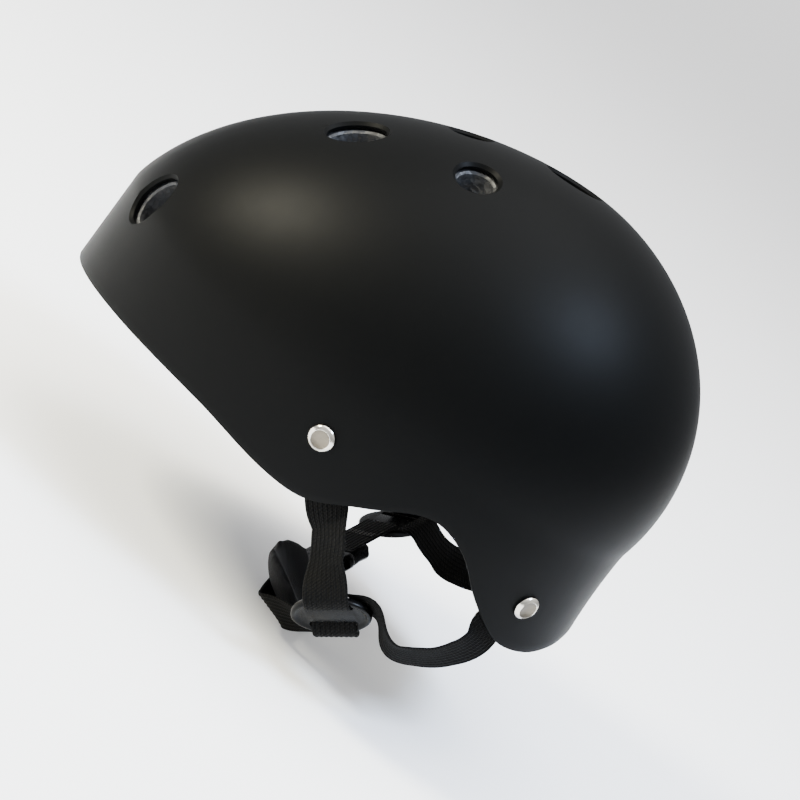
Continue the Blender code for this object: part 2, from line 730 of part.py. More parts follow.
def build_buckle_male(look, strap_centre):
    """Base with a webbing channel and a guide tongue. The two prongs are separate pieces."""
    frame = buckle_frame()
    mouth = FEMALE_START + FEMALE_LENGTH
    low = mouth + GAP
    half = BUCKLE_WIDTH / 2
    thick = BUCKLE_THICK / 2
    outline = rectangle(-half + CLIP_NARROWER, half - CLIP_NARROWER, -thick, thick)
    body = prism("buckle_male", outline, frame, low, low + MALE_LENGTH, look)
    tongue = rectangle(-GUIDE_WIDTH / 2, GUIDE_WIDTH / 2, -GUIDE_HALF_THICK, GUIDE_HALF_THICK)
    guide = prism("cut_guide", tongue, frame, mouth - GUIDE_LENGTH, low + CUT_PAST, look)
    joined = body.modifiers.new("guide", "BOOLEAN")
    joined.operation = "UNION"
    joined.object = guide
    graph = bpy.context.evaluated_depsgraph_get()
    body.data = bpy.data.meshes.new_from_object(body.evaluated_get(graph))
    body.modifiers.clear()
    bpy.data.objects.remove(guide, do_unlink=True)
    clear = WEB_THICK / 2 + CLIP_CHANNEL_ROOM
    wide = WEB_WIDTH / 2 + CLIP_CHANNEL_ROOM
    channel = rectangle(-wide, wide, strap_centre - clear, strap_centre + clear)
    high = low + MALE_LENGTH
    cutters = [prism("cut_channel", channel, frame, low + CLIP_CHANNEL_START, high + CUT_PAST, look)]
    for sign in (-1, 1):
        centre = sign * PRONG_OFFSET
        reach = PRONG_WIDTH / 2 + SEAT_ROOM
        seat = rectangle(centre - reach, centre + reach, -PRONG_THICK / 2 - GAP, PRONG_THICK / 2 + GAP)
        cutters.append(prism("cut_seat", seat, frame, low - CUT_PAST, low + SEAT_DEPTH, look))
    apply_cuts(body, cutters)
    set_origin(body, frame @ Vector((0, 0, low)))
    return body


def build_prong(side, look):
    """Springy arm that turns about its root in the male base. Its head shows in the side window."""
    frame = buckle_frame()
    sign = 1 if side == "left" else -1
    mouth = FEMALE_START + FEMALE_LENGTH
    root = mouth + GAP + PRONG_ROOT
    inner = PRONG_OFFSET - PRONG_WIDTH / 2
    outer = PRONG_OFFSET + PRONG_WIDTH / 2
    face = CAVITY_WIDTH / 2 - GAP
    tip = mouth - PRONG_LENGTH
    outline = [
        (inner, root), (outer, root), (outer, mouth - PRONG_NECK), (face, mouth - PRONG_SHOULDER),
        (face, tip + PRONG_TAPER), (outer - PRONG_TIP_CUT, tip), (inner, tip),
    ]
    flat = Matrix(((sign, 0, 0, 0), (0, 0, 1, 0), (0, 1, 0, 0), (0, 0, 0, 1)))
    arm = prism("buckle_prong_" + side, outline, frame @ flat, -PRONG_THICK / 2, PRONG_THICK / 2, look)
    set_origin(arm, frame @ Vector((sign * PRONG_OFFSET, 0, root)))
    return arm


# ---------------------------------------------------------------- assembly


def main():
    clear_scene()
    shell_look = material("shell_plastic", BLACK_SHELL, 0.42)
    foam_look = material("liner_foam", BLACK_FOAM, 0.9)
    pad_look = material("pad_fabric", BLACK_FOAM, 0.95)
    web_look = material("webbing", BLACK_WEB, 0.8)
    plastic_look = material("black_plastic", BLACK_PLASTIC, 0.35)
    metal_look = material("nickel", NICKEL, 0.25, 1.0)
    build_shell(shell_look)
    build_liner(foam_look)
    pad("pad_front", (-42, 42), (16, 44), pad_look)
    pad("pad_rear", (152, 208), (20, 50), pad_look)
    pad("pad_left", (66, 112), (54, 84), pad_look)
    pad("pad_right", (-66, -112), (54, 84), pad_look)
    build_crown_pad(pad_look)
    build_rivets(metal_look)
    for side in ("left", "right"):
        build_side_straps(side, web_look)
        build_divider(side, plastic_look)
    ribbon("chin_strap_left", chin_strap_left_stations(), CHIN_STEPS, web_look)
    _, strap_centre = build_chin_strap_right(web_look)
    build_chin_pad(pad_look)
    build_buckle_female(plastic_look)
    build_buckle_male(plastic_look, strap_centre)
    for side in ("left", "right"):
        build_prong(side, plastic_look)


main()
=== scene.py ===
"""Looks of the water helmet: shell, liner, pads, webbing, buckle, materials, light and camera."""

import math

import bmesh
import bpy
import numpy as np
from mathutils import Matrix, Vector, noise


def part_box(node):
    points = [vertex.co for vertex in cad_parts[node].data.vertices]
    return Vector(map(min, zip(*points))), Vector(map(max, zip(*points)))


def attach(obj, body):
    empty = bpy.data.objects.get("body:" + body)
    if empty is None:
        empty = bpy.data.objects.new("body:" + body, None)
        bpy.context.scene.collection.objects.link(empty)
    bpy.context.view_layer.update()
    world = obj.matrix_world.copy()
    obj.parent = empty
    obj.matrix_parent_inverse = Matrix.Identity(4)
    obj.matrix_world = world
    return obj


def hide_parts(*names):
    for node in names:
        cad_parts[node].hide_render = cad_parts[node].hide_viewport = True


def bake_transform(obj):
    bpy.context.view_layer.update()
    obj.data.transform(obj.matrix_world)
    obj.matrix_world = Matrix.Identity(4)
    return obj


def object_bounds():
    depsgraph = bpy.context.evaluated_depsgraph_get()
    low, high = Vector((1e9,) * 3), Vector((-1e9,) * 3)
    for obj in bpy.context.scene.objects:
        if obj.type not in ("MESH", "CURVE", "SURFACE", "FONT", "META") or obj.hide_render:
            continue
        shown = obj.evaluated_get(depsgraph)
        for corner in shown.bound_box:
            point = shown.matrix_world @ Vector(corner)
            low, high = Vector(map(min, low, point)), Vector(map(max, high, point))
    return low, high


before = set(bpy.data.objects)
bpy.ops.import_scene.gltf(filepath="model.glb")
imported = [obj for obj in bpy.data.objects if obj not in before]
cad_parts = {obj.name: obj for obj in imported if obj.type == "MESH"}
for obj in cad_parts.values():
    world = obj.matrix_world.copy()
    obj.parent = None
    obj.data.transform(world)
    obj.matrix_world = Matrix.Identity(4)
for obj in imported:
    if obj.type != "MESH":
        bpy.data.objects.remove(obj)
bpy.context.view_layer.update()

MM = 0.001

# Outer surface of the shell, as the frame's part has it
HALF_WIDTH = 106.8 * MM
FRONT_REACH = 152.0 * MM
REAR_REACH = 132.7 * MM
WIDEST_Y = 1.3 * MM
WIDEST_Z = 49.3 * MM
DOME_HEIGHT = 120.6 * MM
DOME_LEAN = 24.9 * MM
DOME_POWER = 1.9
SIDE_TUCK = 0.10
REAR_FLARE = 0.03
CROWN_Z = WIDEST_Z + DOME_HEIGHT
RIM = [
    (0, 2.0), (40, 5.0), (65, 5.0), (82, 0.5), (91, 2.5), (101, 16.0), (112, 30.0),
    (122, 25.0), (133, 8.0), (145, -5.5), (155, -6.5), (165, -1.5), (180, 6.5),
]
SHELL_THICK = 3.0 * MM
LINER_INSET = 3.9 * MM
LINER_THICK = 13.0 * MM
LINER_LIFT = 5.0 * MM
SHELL_GRID = {True: (120, 34), False: (240, 68)}
LINER_GRID = {True: (96, 24), False: (168, 44)}
PAD_INSET = 17.6 * MM
PAD_THICK = 5.0 * MM

# Vents: azimuth, then height, half length and half width in millimetres
VENTS = [
    (27.0, 53.0, 13.5, 9.5),
    (-27.0, 53.0, 13.5, 9.5),
    (25.0, 131.0, 13.5, 9.5),
    (-25.0, 131.0, 13.5, 9.5),
    (54.0, 150.0, 9.8, 9.5),
    (-54.0, 150.0, 9.8, 9.5),
    (0.0, 157.0, 9.8, 9.5),
    (0.0, 169.0, 13.5, 9.5),
]
VENT_ROLL = 1.5 * MM
VENT_SIDES = 72
SLOPE_STEP = 0.5 * MM
DROP_OUT = 4.0 * MM
DROP_IN = 14.0 * MM
DROP_STEPS = 26

# How far the cutters reach in and out, and the edges that they leave
ROLL_ABOVE = 6.0 * MM
ROLL_SKIN = 0.15 * MM
ROLL_FLARE = 1.25
ROLL_STEPS = 6
SHELL_VENT_DEEP = 9.0 * MM
LINER_VENT_DEEP = 26.0 * MM
LINER_VENT_ROLL = 1.0 * MM
LINER_VENT_SHRINK = 1.3 * MM
RIVET_HOLE_R = 2.3 * MM
RIVET_HOLE_SIDES = 24
RIVET_HOLE_IN = 8.0 * MM
RIVET_HOLE_OUT = 5.0 * MM
CHANNEL_BACK = 14.0 * MM
CHANNEL_AHEAD = 60.0 * MM
CHANNEL_OUT = 6.0 * MM
EDGE_BULGE = 0.3
EDGE_POWER = 0.7
EDGE_STEPS = 6
SHARP_ANGLE = 38.0

# Padded pieces: cloth settings, then the shapes that they start from
PAD_VOXEL = 2.6 * MM
CLOTH_FRAMES = 20
CLOTH_PRESSURE = 4.0
CLOTH_MASS = 0.2
CLOTH_QUALITY = 4
PAD_SWELL = 0.9 * MM
CUP_SWELL = 0.8 * MM
SMOOTH_FACTOR = 0.5
SMOOTH_ROUNDS = 4
# Azimuths and heights (in millimetres) from which to which each pad on the liner's wall reaches
PADS = {
    "pad_front": ((-42, 42), (16, 44)),
    "pad_rear": ((152, 208), (20, 50)),
    "pad_left": ((66, 112), (54, 84)),
    "pad_right": ((-66, -112), (54, 84)),
}
PAD_TAPER = 5
PAD_ROUND = 0.45
PAD_FLAT = 0.75
PAD_END_DEPTH = 0.3
PAD_COLUMNS = 40
PAD_ROWS = 32
PAD_SHRINK_ROUND = 0.96
PAD_SHRINK_HIGH = 0.94
PAD_END = 0.35
PAD_HALF_DEPTH = 0.42
CROWN_PAD_AXIS = Vector((0.0, -0.27, -1.0))
CROWN_PAD_HALF_X = 22.0 * MM
CROWN_PAD_HALF_Y = 15.0 * MM
CROWN_PAD_SIDES = 48
# Height and growth of each ring, in millimetres
CROWN_PAD_RINGS = [(-2.3, -3.0), (-1.5, -1.0), (0.0, -0.4), (1.5, -1.0), (2.3, -3.0)]

# Webbing routes behind the shell, and the rivets at the second place of each
FRONT_ROUTE = [(85.0, 40.0), (87.0, 31.0), (90.5, 18.0), (95.0, 5.0)]
REAR_ROUTE = [(146.0, 23.0), (145.0, 16.0), (143.8, 8.5), (142.2, 0.0)]
WEB_WIDTH = 20.0 * MM
WEB_THICK = 1.5 * MM
WEB_DEPTH = 4.8 * MM
WEB_RIBS = 9
RIB_HEIGHT = 0.13 * MM
RIB_STEPS = 6
WEB_EDGE = 0.35
WEB_ROUND = 14
WEB_SPACING = 1.3 * MM
STITCH_LENGTH = 2.2 * MM
STITCH_RADIUS = 0.22 * MM
STITCH_ARCH = 0.28 * MM
STITCH_SINK = 0.05 * MM
STITCH_GAP = 0.15
STITCH_END = 0.4
STITCH_STEPS = 6
STITCH_SIDES = 6
TACK_HALF = 8.0 * MM
TACK_ROWS = (-1.4 * MM, 0.0, 1.4 * MM)
TACK_ALONG = 21.0 * MM
CHANNEL_WIDTH = 25.0 * MM
CHANNEL_DEPTH = 10.0 * MM

# Harness
DIVIDER_AT = Vector((84.0, 44.0, -35.0)) * MM
DIVIDER_LONG = 36.0 * MM
DIVIDER_SHORT = 28.0 * MM
DIVIDER_THICK = 3.6 * MM
PLATE_TILT = Vector((0.0, 0.77, 0.64))
PLATE_CHIN = Vector((-0.69, 0.457, -0.557))
# Height and growth of each level of the plate, in millimetres
PLATE_LEVELS = [
    (-1.8, -1.6), (-1.75, -0.9), (-1.4, -0.3), (-0.8, 0.0), (0.8, 0.0), (1.35, -0.2), (1.7, -0.6),
    (1.8, -1.1), (1.75, -1.6), (1.5, -2.1), (1.1, -2.6), (0.8, -3.4),
]
PLATE_SIDES = 96
SLOT_LOWS = (-8.6 * MM, 5.2 * MM)
SLOT_HALF = 1.7 * MM
SLOT_ROOM = 0.6 * MM
SLOT_CORNER = 1.2 * MM
SLOT_CUT = 6.0 * MM

# Stations of the left webbing as (place, width direction), right ones mirrored. Those on a divider are
# (distance along its long axis, chin axis and normal) in millimetres from its middle.
FRONT_FREE = [
    ((95.0, 21.0, -3.5), (0.55, 0.68, 0.45)),
    ((93.0, 26.0, -12.0), (0.58, 0.66, 0.46)),
]
FRONT_ON_PLATE = {
    "left": [(0, -17.0, 1.0), (0, -10.5, 3.1), (0, -6.9, 0), (0, -3.5, -3.0), (0, 2.0, -4.6)],
    "right": [(0, -17.0, 1.0), (0, -10.5, 3.1), (0, -6.9, 0), (0, -5.3, -0.9)],
}
REAR_FREE = [
    ((60.6, 102.8, -9.0), (-0.72, 0.68, -0.10)),
    ((67.5, 97.0, -19.5), (-0.78, 0.55, -0.30)),
    ((75.5, 86.5, -27.5), (-0.80, 0.40, -0.45)),
    ((81.5, 74.0, -30.5), (-0.76, 0.25, -0.60)),
]
REAR_ON_PLATE = {"left": [(19.0, 0, -1.6), (9.0, 0, -4.4)], "right": [(19.0, 0, -1.6), (12.5, 0, -3.0)]}
CHIN_ON_PLATE = [(0, -1.5, -6.0), (0, 3.5, -4.6), (0, 6.9, 0), (0, 11.5, 2.9), (0, 16.0, 1.2)]
CHIN_TURN = (-2.0, 20.5, -4.5)
CHIN_TURN_WIDTH = Vector((0.10, 0.86, 0.50))
CHIN_MIDDLE_WIDTH = Vector((0.05, 0.98, 0.15))
CHIN_CUP_END = Vector((62.0, 1.5, 1.8)) * MM
CHIN_CUP_WIDTH = Vector((0.05, 0.97, -0.22))
CHIN_RUN = (54.0 * MM, 28.0 * MM, 3.0 * MM)
CHIN_AFTER_BEND = (3.5 * MM, 8.0 * MM)
RIGHT_START_CLEAR = 2.0 * MM
RIGHT_RISE = 12.0 * MM
RIGHT_ENDS = (19.0 * MM, 7.0 * MM)
STRAP_BEHIND = 1.0 * MM
BEND_AT = Vector((-17.0, 22.0, -66.0)) * MM
CHIN_LEVEL = Vector((0.0, 0.94, -0.34)).normalized()
CUP_UP = Vector((0.0, 0.34, 0.94))
CHIN_PAD_X = 11.0 * MM
CUP_HALF_LONG = 25.5 * MM
CUP_HALF_WIDE = 22.0 * MM
CUP_HALF_THICK = 3.6 * MM
CUP_END_LIFT = 12.0 * MM
CUP_EDGE_LIFT = 5.0 * MM
CUP_FRONT_LIFT = 3.5 * MM
CUP_STEPS = 32
CUP_SIDES = 44
# Powers of the cup's outline (two) and of its cross-section, and its half sizes at the tips
CUP_OUTLINE = (3, 0.45)
CUP_SECTION = 0.75
CUP_TIP_WIDE = 0.12
CUP_TIP_THICK = 0.3
BUCKLE_WIDTH = 27.0 * MM
BUCKLE_THICK = 8.0 * MM
FEMALE_START = 6.0 * MM
FEMALE_LENGTH = 24.0 * MM
MALE_LENGTH = 13.0 * MM
GAP = 0.3 * MM
RIGHT_ANGLE = math.radians(90)

# Sections of the buckle bodies as (distance, growth of the half width, squeeze), the first two in
# millimetres from the end nearer the chin or from the other end
HOUSING_FOOT = [
    (0, -2.0, 0.55), (0.5, -1.2, 0.72), (1.6, -0.4, 0.86), (4, 0, 0.95), (9, 0, 1.0), (14, -0.5, 1.0),
    (19, 0, 1.0),
]
HOUSING_MOUTH = [(-1.2, 0, 0.97), (-0.3, -0.4, 0.92), (0, -0.9, 0.86)]
HOUSING_CORNER = 2.6 * MM
CLIP_FOOT = [(0, -0.7, 0.88), (0.4, -0.2, 0.95), (1.4, 0, 1.0), (6, -0.8, 1.0)]
CLIP_END = [(-2, 0, 0.97), (-0.6, -0.3, 0.88), (0, -1.0, 0.75)]
CLIP_CORNER = 2.2 * MM
CLIP_INSET = 1.0 * MM
# Half width, half height and corner of the holes and of the tongue
CAVITY = (11.0 * MM, 2.3 * MM, 0.6 * MM)
WEB_BAR = (10.5 * MM, 10.0 * MM, 0.5 * MM)
THUMB = (7.5 * MM, 5.5 * MM, 5.4 * MM)
TONGUE = (2.5 * MM, 1.5 * MM, 0.5 * MM)
CAVITY_DEPTH = 15.0 * MM
WINDOW = (13.8 * MM, 4.2 * MM)
WEB_BAR_SPAN = (3.0 * MM, 6.2 * MM)
THUMB_AT = (4.9 * MM, 14.5 * MM)
THUMB_HALF = 7.0 * MM
TONGUE_LENGTH = 11.0 * MM
CUT_OVER = 1.0 * MM
CHANNEL = (10.5 * MM, 1.3 * MM)
CHANNEL_START = 1.4 * MM
SEAT_AT = 8.6 * MM
SEAT = (2.4 * MM, 2.1 * MM)
GRIPS = (4.6 * MM, 7.0 * MM, 9.4 * MM)
GRIP = (9.0 * MM, 0.45 * MM, 0.5 * MM)
# Outline of the left arm as (across, distance from the housing's mouth), in millimetres
ARM_OUTLINE = [
    (9.9, -4.6), (10.6, -5.6), (10.7, -8.4), (10.3, -10.8), (9.2, -12.2), (7.4, -12.5), (7.2, -9.0),
]
ARM_ROOT = (7.3 * MM, 9.9 * MM)
ARM_CLEAR = 0.7 * MM
ARM_HALF = 1.8 * MM
RIBS = (6.4 * MM, 7.9 * MM, 9.4 * MM)
RIB_ACROSS = (10.35 * MM, 12.0 * MM)
RIB_HALF = 0.3 * MM
# Bevel width, steps and smallest angle in degrees
PLATE_EDGE = (0.35 * MM, 3, 40)
HOUSING_EDGE = (0.3 * MM, 2, 40)
CLIP_EDGE = (0.25 * MM, 2, 40)
ARM_EDGE = (0.22 * MM, 2, 35)

# Roughness range, scratch strength, and dark and light colour of the nickel. The satin colours sit far
# below plated nickel: a painted dark reflection laid on the real satin finish of the rivets' flat tops
POLISHED = (0.08, 0.24, 0.08, (0.52, 0.49, 0.43), (0.68, 0.65, 0.58))
SATIN_WITH_PAINTED_REFLECTION = (0.34, 0.50, 0.3, (0.10, 0.088, 0.068), (0.17, 0.15, 0.12))
# Outlines of a rivet and of a washer as (radius, height), in millimetres
RIVET_PROFILE = [
    (0, -7.4), (2.0, -7.4), (2.0, 0.15), (5.7, 0.15), (6.1, 0.35), (6.2, 0.75), (6.05, 1.15),
    (5.7, 1.6), (5.2, 2.0), (4.7, 2.3), (4.45, 2.5), (4.3, 2.44), (4.2, 2.32), (0, 2.3),
]
WASHER_PROFILE = [
    (2.3, -1.0), (2.6, -1.12), (5.4, -1.12), (5.9, -0.9), (6.0, -0.5), (5.9, -0.1), (5.4, 0), (2.3, 0),
]
RIVET_TOP = 2.5 * MM
RIVET_FLAT = 4.15 * MM
RIVET_SHARP = math.radians(50)
WASHER_BEHIND = 0.8 * MM

# Camera and light, by azimuth and elevation of the direction from the helmet
CAMERA_AZIMUTH = 90.75
CAMERA_ELEVATION = 15.8
CAMERA_TILT = 37.6
CAMERA_DISTANCE = 1.103
CAMERA_LENS = 106.0
AIM_RIGHT = 30.7 * MM
AIM_UP = 24.1 * MM
FLOOR_GAP = 0.5 * MM
FLOOR_HALF = 200.0
FLOOR_GLOW = (1.0, 1.0, 1.0, 1.0)
CLIP_NEAR = 0.05
LIGHT_TARGET = Vector((0.0, 0.0, 0.06))
# Azimuth, elevation, distance, side of the square lamp, power and colour
LIGHTS = {
    "key_front": (19, 30, 1.5, 0.36, 70.0, (1.0, 0.95, 0.76)),
    "key_rear": (148, 59, 1.5, 0.44, 46.0, (0.62, 0.76, 1.0)),
    "fill_low": (59, -3, 1.6, 0.35, 1.6, (1.0, 0.97, 0.93)),
    "floor_wash": (60, 85, 3.0, 3.0, 150.0, (1.0, 1.0, 1.0)),
}
# Position on the ramp from straight down to straight up, and colour
LOW_SKY = (0.25, (0.42, 0.43, 0.45, 1.0))
HIGH_SKY = (0.85, (1.0, 1.0, 1.0, 1.0))
SKY_STRENGTH = 1.6


# -------- outer surface


def hermite(v0, v1, slope0, slope1, t):
    return (
        (2 * t**3 - 3 * t**2 + 1) * v0
        + (t**3 - 2 * t**2 + t) * slope0
        + (-2 * t**3 + 3 * t**2) * v1
        + (t**3 - t**2) * slope1
    )


def rim_height(azimuth):
    """Smooth curve through the RIM heights, in metres."""
    a = abs((azimuth + 180.0) % 360.0 - 180.0)
    for i in range(len(RIM) - 1):
        a0, z0 = RIM[i]
        a1, z1 = RIM[i + 1]
        if a <= a1:
            before = RIM[i - 1] if i > 0 else (-RIM[1][0], RIM[1][1])
            after = RIM[i + 2] if i + 2 < len(RIM) else (360 - RIM[i][0], RIM[i][1])
            span = a1 - a0
            slope0 = (z1 - before[1]) / (a1 - before[0]) * span
            slope1 = (after[1] - z0) / (after[0] - a0) * span
            return hermite(z0, z1, slope0, slope1, (a - a0) / span) * MM
    return RIM[-1][1] * MM


def section(azimuth, height):
    """Scale of the plan at a height, the plan's reach along y, and the dome's lean there."""
    a = math.radians(azimuth)
    up = min(max((height - WIDEST_Z) / DOME_HEIGHT, 0.0), 1.0)
    down = max((WIDEST_Z - height) / WIDEST_Z, 0.0)
    size = (1 - up**DOME_POWER) ** (1 / DOME_POWER)
    rear = max(-math.cos(a), 0.0) ** 2
    size += down**2 * (REAR_FLARE * rear - SIDE_TUCK * math.sin(a) ** 2)
    reach = FRONT_REACH if math.cos(a) > 0 else REAR_REACH
    return size, reach, DOME_LEAN * up


def surface(azimuth, height):
    """Point of the outer surface at an azimuth (0 at the brow, positive to the left) and a height."""
    size, reach, lean = section(azimuth, height)
    a = math.radians(azimuth)
    return Vector((HALF_WIDTH * math.sin(a) * size, WIDEST_Y - reach * math.cos(a) * size + lean, height))


def surface_frame(azimuth, height):
    """Point, tangent towards the crown and outward normal of the outer surface."""
    step = 0.5
    lift = SLOPE_STEP
    point = surface(azimuth, height)
    along = surface(azimuth + step, height) - surface(azimuth - step, height)
    upwards = surface(azimuth, min(height + lift, CROWN_Z)) - surface(azimuth, height - lift)
    normal = along.cross(upwards).normalized()
    if normal.dot(point - Vector((0, 0, WIDEST_Z))) < 0:
        normal = -normal
    return point, upwards.normalized(), normal


def outside(point):
    """Above 0 outside the outer surface and below 0 inside it."""
    if point.z >= CROWN_Z:
        return 1.0
    up = min(max((point.z - WIDEST_Z) / DOME_HEIGHT, 0.0), 1.0)
    forward = WIDEST_Y + DOME_LEAN * up - point.y
    reach = FRONT_REACH if forward > 0 else REAR_REACH
    azimuth = math.degrees(math.atan2(point.x / HALF_WIDTH, forward / reach))
    return math.hypot(point.x / HALF_WIDTH, forward / reach) - section(azimuth, point.z)[0]


def drop_to_surface(point, normal):
    """Moves a point inwards along a normal until it meets the outer surface."""
    near, far = -DROP_OUT, DROP_IN
    for _ in range(DROP_STEPS):
        middle = (near + far) / 2
        if outside(point - normal * middle) > 0:
            near = middle
        else:
            far = middle
    return point - normal * near


# -------- mesh helpers


def add_mesh(name, bm, look, smooth=True):
    bmesh.ops.recalc_face_normals(bm, faces=bm.faces)
    mesh = bpy.data.meshes.new(name)
    bm.to_mesh(mesh)
    bm.free()
    thing = bpy.data.objects.new(name, mesh)
    bpy.context.scene.collection.objects.link(thing)
    if look:
        mesh.materials.append(look)
    if smooth:
        mesh.polygons.foreach_set("use_smooth", [True] * len(mesh.polygons))
    return thing


def bake(thing):
    """Applies the object's modifiers to its mesh."""
    graph = bpy.context.evaluated_depsgraph_get()
    mesh = bpy.data.meshes.new_from_object(thing.evaluated_get(graph))
    thing.modifiers.clear()
    thing.data = mesh
    return thing


def subtract(thing, cutters):
    for cutter in cutters:
        step = thing.modifiers.new("cut", "BOOLEAN")
        step.operation = "DIFFERENCE"
        step.object = cutter
    bake(thing)
    for cutter in cutters:
        bpy.data.objects.remove(cutter, do_unlink=True)
    return thing


def soften(thing, width, segments=3, angle=35.0):
    """Rounds the sharp edges and shades the faces smoothly up to an angle."""
    step = thing.modifiers.new("round", "BEVEL")
    step.width = width
    step.segments = segments
    step.limit_method = "ANGLE"
    step.angle_limit = math.radians(angle)
    step.harden_normals = False
    bake(thing)
    thing.data.polygons.foreach_set("use_smooth", [True] * len(thing.data.polygons))
    thing.data.set_sharp_from_angle(angle=math.radians(angle))
    return thing


def loft(name, rings, look, closed=False, capped=True, smooth=True):
    """Joins rings of points. A ring of one point is a pole."""
    bm = bmesh.new()
    made = [[bm.verts.new(point) for point in ring] for ring in rings]
    pairs = list(zip(made, made[1:]))
    if closed:
        pairs.append((made[-1], made[0]))
    for lower, upper in pairs:
        count = max(len(lower), len(upper))
        for i in range(count):
            j = (i + 1) % count
            if len(lower) == 1:
                bm.faces.new((lower[0], upper[i], upper[j]))
            elif len(upper) == 1:
                bm.faces.new((lower[i], lower[j], upper[0]))
            else:
                bm.faces.new((lower[i], lower[j], upper[j], upper[i]))
    if capped and not closed:
        for ring in (made[0], made[-1]):
            if len(ring) > 2:
                bm.faces.new(ring)
    return add_mesh(name, bm, look, smooth)


def cup_frame():
    """Frame of the chin cup: x along the webbing, y towards the rear, z up through it."""
    return axes_frame(Vector((CHIN_PAD_X, BEND_AT.y, BEND_AT.z)), Vector((1, 0, 0)), CUP_UP)


def axes_frame(origin, x_axis, z_axis):
    """Frame with its z axis along z_axis and its x axis as near x_axis as it can be."""
    z = z_axis.normalized()
    x = (x_axis - z * x_axis.dot(z)).normalized()
    return Matrix.Translation(origin) @ Matrix((x, z.cross(x), z)).transposed().to_4x4()


def oval(half_x, half_y, count):
    turn = 2 * math.pi / count
    return [(half_x * math.cos(i * turn), half_y * math.sin(i * turn)) for i in range(count)]


def rectangle(x0, x1, y0, y1):
    return [(x0, y0), (x1, y0), (x1, y1), (x0, y1)]


def rounded_box(half_x, half_y, corner, steps=6):
    """Rectangle outline with round corners."""
    outline = []
    for cx, cy, start in ((1, 1, 0), (-1, 1, 90), (-1, -1, 180), (1, -1, 270)):
        for i in range(steps + 1):
            turn = math.radians(start + 90 * i / steps)
            x = cx * (half_x - corner) + corner * math.cos(turn)
            y = cy * (half_y - corner) + corner * math.sin(turn)
            outline.append((x, y))
    return outline


def prism(name, outline, place, low, high, look=None):
    rings = [[place @ Vector((x, y, z)) for x, y in outline] for z in (low, high)]
    return loft(name, rings, look, smooth=False)


def lathe(name, profile, place, look, count=64):
    """Turns a (radius, height) profile about the place's z axis. Radius 0 is a pole."""
    rings = []
    for radius, height in profile:
        if radius == 0:
            rings.append([place @ Vector((0, 0, height))])
        else:
            rings.append([place @ Vector((x, y, height)) for x, y in oval(radius, radius, count)])
    return loft(name, rings, look, closed=profile[0][0] != 0, capped=False)


# -------- node materials


def set_sockets(node, **values):
    """Sets input values. An underscore in a name stands for a space."""
    for name, value in values.items():
        node.inputs[name.replace("_", " ")].default_value = value


class Nodes:
    """Short way to write a node tree."""

    def __init__(self, name):
        self.material = bpy.data.materials.new(name)
        self.material.use_nodes = True
        self.tree = self.material.node_tree
        self.shader = self.tree.nodes["Principled BSDF"]
        self.place = self.add("ShaderNodeTexCoord").outputs["Object"]

    def add(self, kind, **values):
        node = self.tree.nodes.new(kind)
        for key, value in values.items():
            setattr(node, key, value)
        return node

    def link(self, source, target):
        self.tree.links.new(source, target)

    def noise(self, scale, detail=4.0, roughness=0.5, vector=None):
        node = self.add("ShaderNodeTexNoise")
        set_sockets(node, Scale=scale, Detail=detail, Roughness=roughness)
        self.link(vector or self.place, node.inputs["Vector"])
        return node.outputs["Fac"]

    def cells(self, scale, feature="F1", vector=None):
        node = self.add("ShaderNodeTexVoronoi", feature=feature)
        set_sockets(node, Scale=scale)
        self.link(vector or self.place, node.inputs["Vector"])
        return node.outputs["Distance"]

    def ramp(self, source, stops):
        node = self.add("ShaderNodeValToRGB")
        elements = node.color_ramp.elements
        while len(elements) < len(stops):
            elements.new(0.5)
        for element, (position, colour) in zip(elements, stops):
            element.position = position
            element.color = (*colour, 1.0) if len(colour) == 3 else colour
        self.link(source, node.inputs["Fac"])
        return node.outputs["Color"]

    def spread(self, source, low, high, from_low=0.0, from_high=1.0):
        node = self.add("ShaderNodeMapRange")
        set_sockets(node, From_Min=from_low, From_Max=from_high, To_Min=low, To_Max=high)
        self.link(source, node.inputs["Value"])
        return node.outputs["Result"]

    def math(self, operation, a, b):
        node = self.add("ShaderNodeMath", operation=operation)
        for socket, value in zip(node.inputs, (a, b)):
            if isinstance(value, (int, float)):
                socket.default_value = value
            else:
                self.link(value, socket)
        return node.outputs["Value"]

    def mix(self, factor, a, b):
        node = self.add("ShaderNodeMix", data_type="RGBA")
        self.link(factor, node.inputs["Factor"])
        for name, value in (("A", a), ("B", b)):
            socket = [s for s in node.inputs if s.name == name and s.type == "RGBA"][0]
            if isinstance(value, tuple):
                socket.default_value = (*value, 1.0)
            else:
                self.link(value, socket)
        return [s for s in node.outputs if s.type == "RGBA"][0]

    def bump(self, height, strength, distance, below=None):
        node = self.add("ShaderNodeBump")
        set_sockets(node, Strength=strength, Distance=distance)
        self.link(height, node.inputs["Height"])
        if below is not None:
            self.link(below, node.inputs["Normal"])
        return node.outputs["Normal"]

    def finish(self, colour=None, roughness=None, normal=None, **values):
        for name, source in (("Base Color", colour), ("Roughness", roughness), ("Normal", normal)):
            if source is None:
                continue
            if isinstance(source, tuple):
                self.shader.inputs[name].default_value = (*source, 1.0)
            elif isinstance(source, (int, float)):
                self.shader.inputs[name].default_value = source
            else:
                self.link(source, self.shader.inputs[name])
        set_sockets(self.shader, **values)
        return self.material


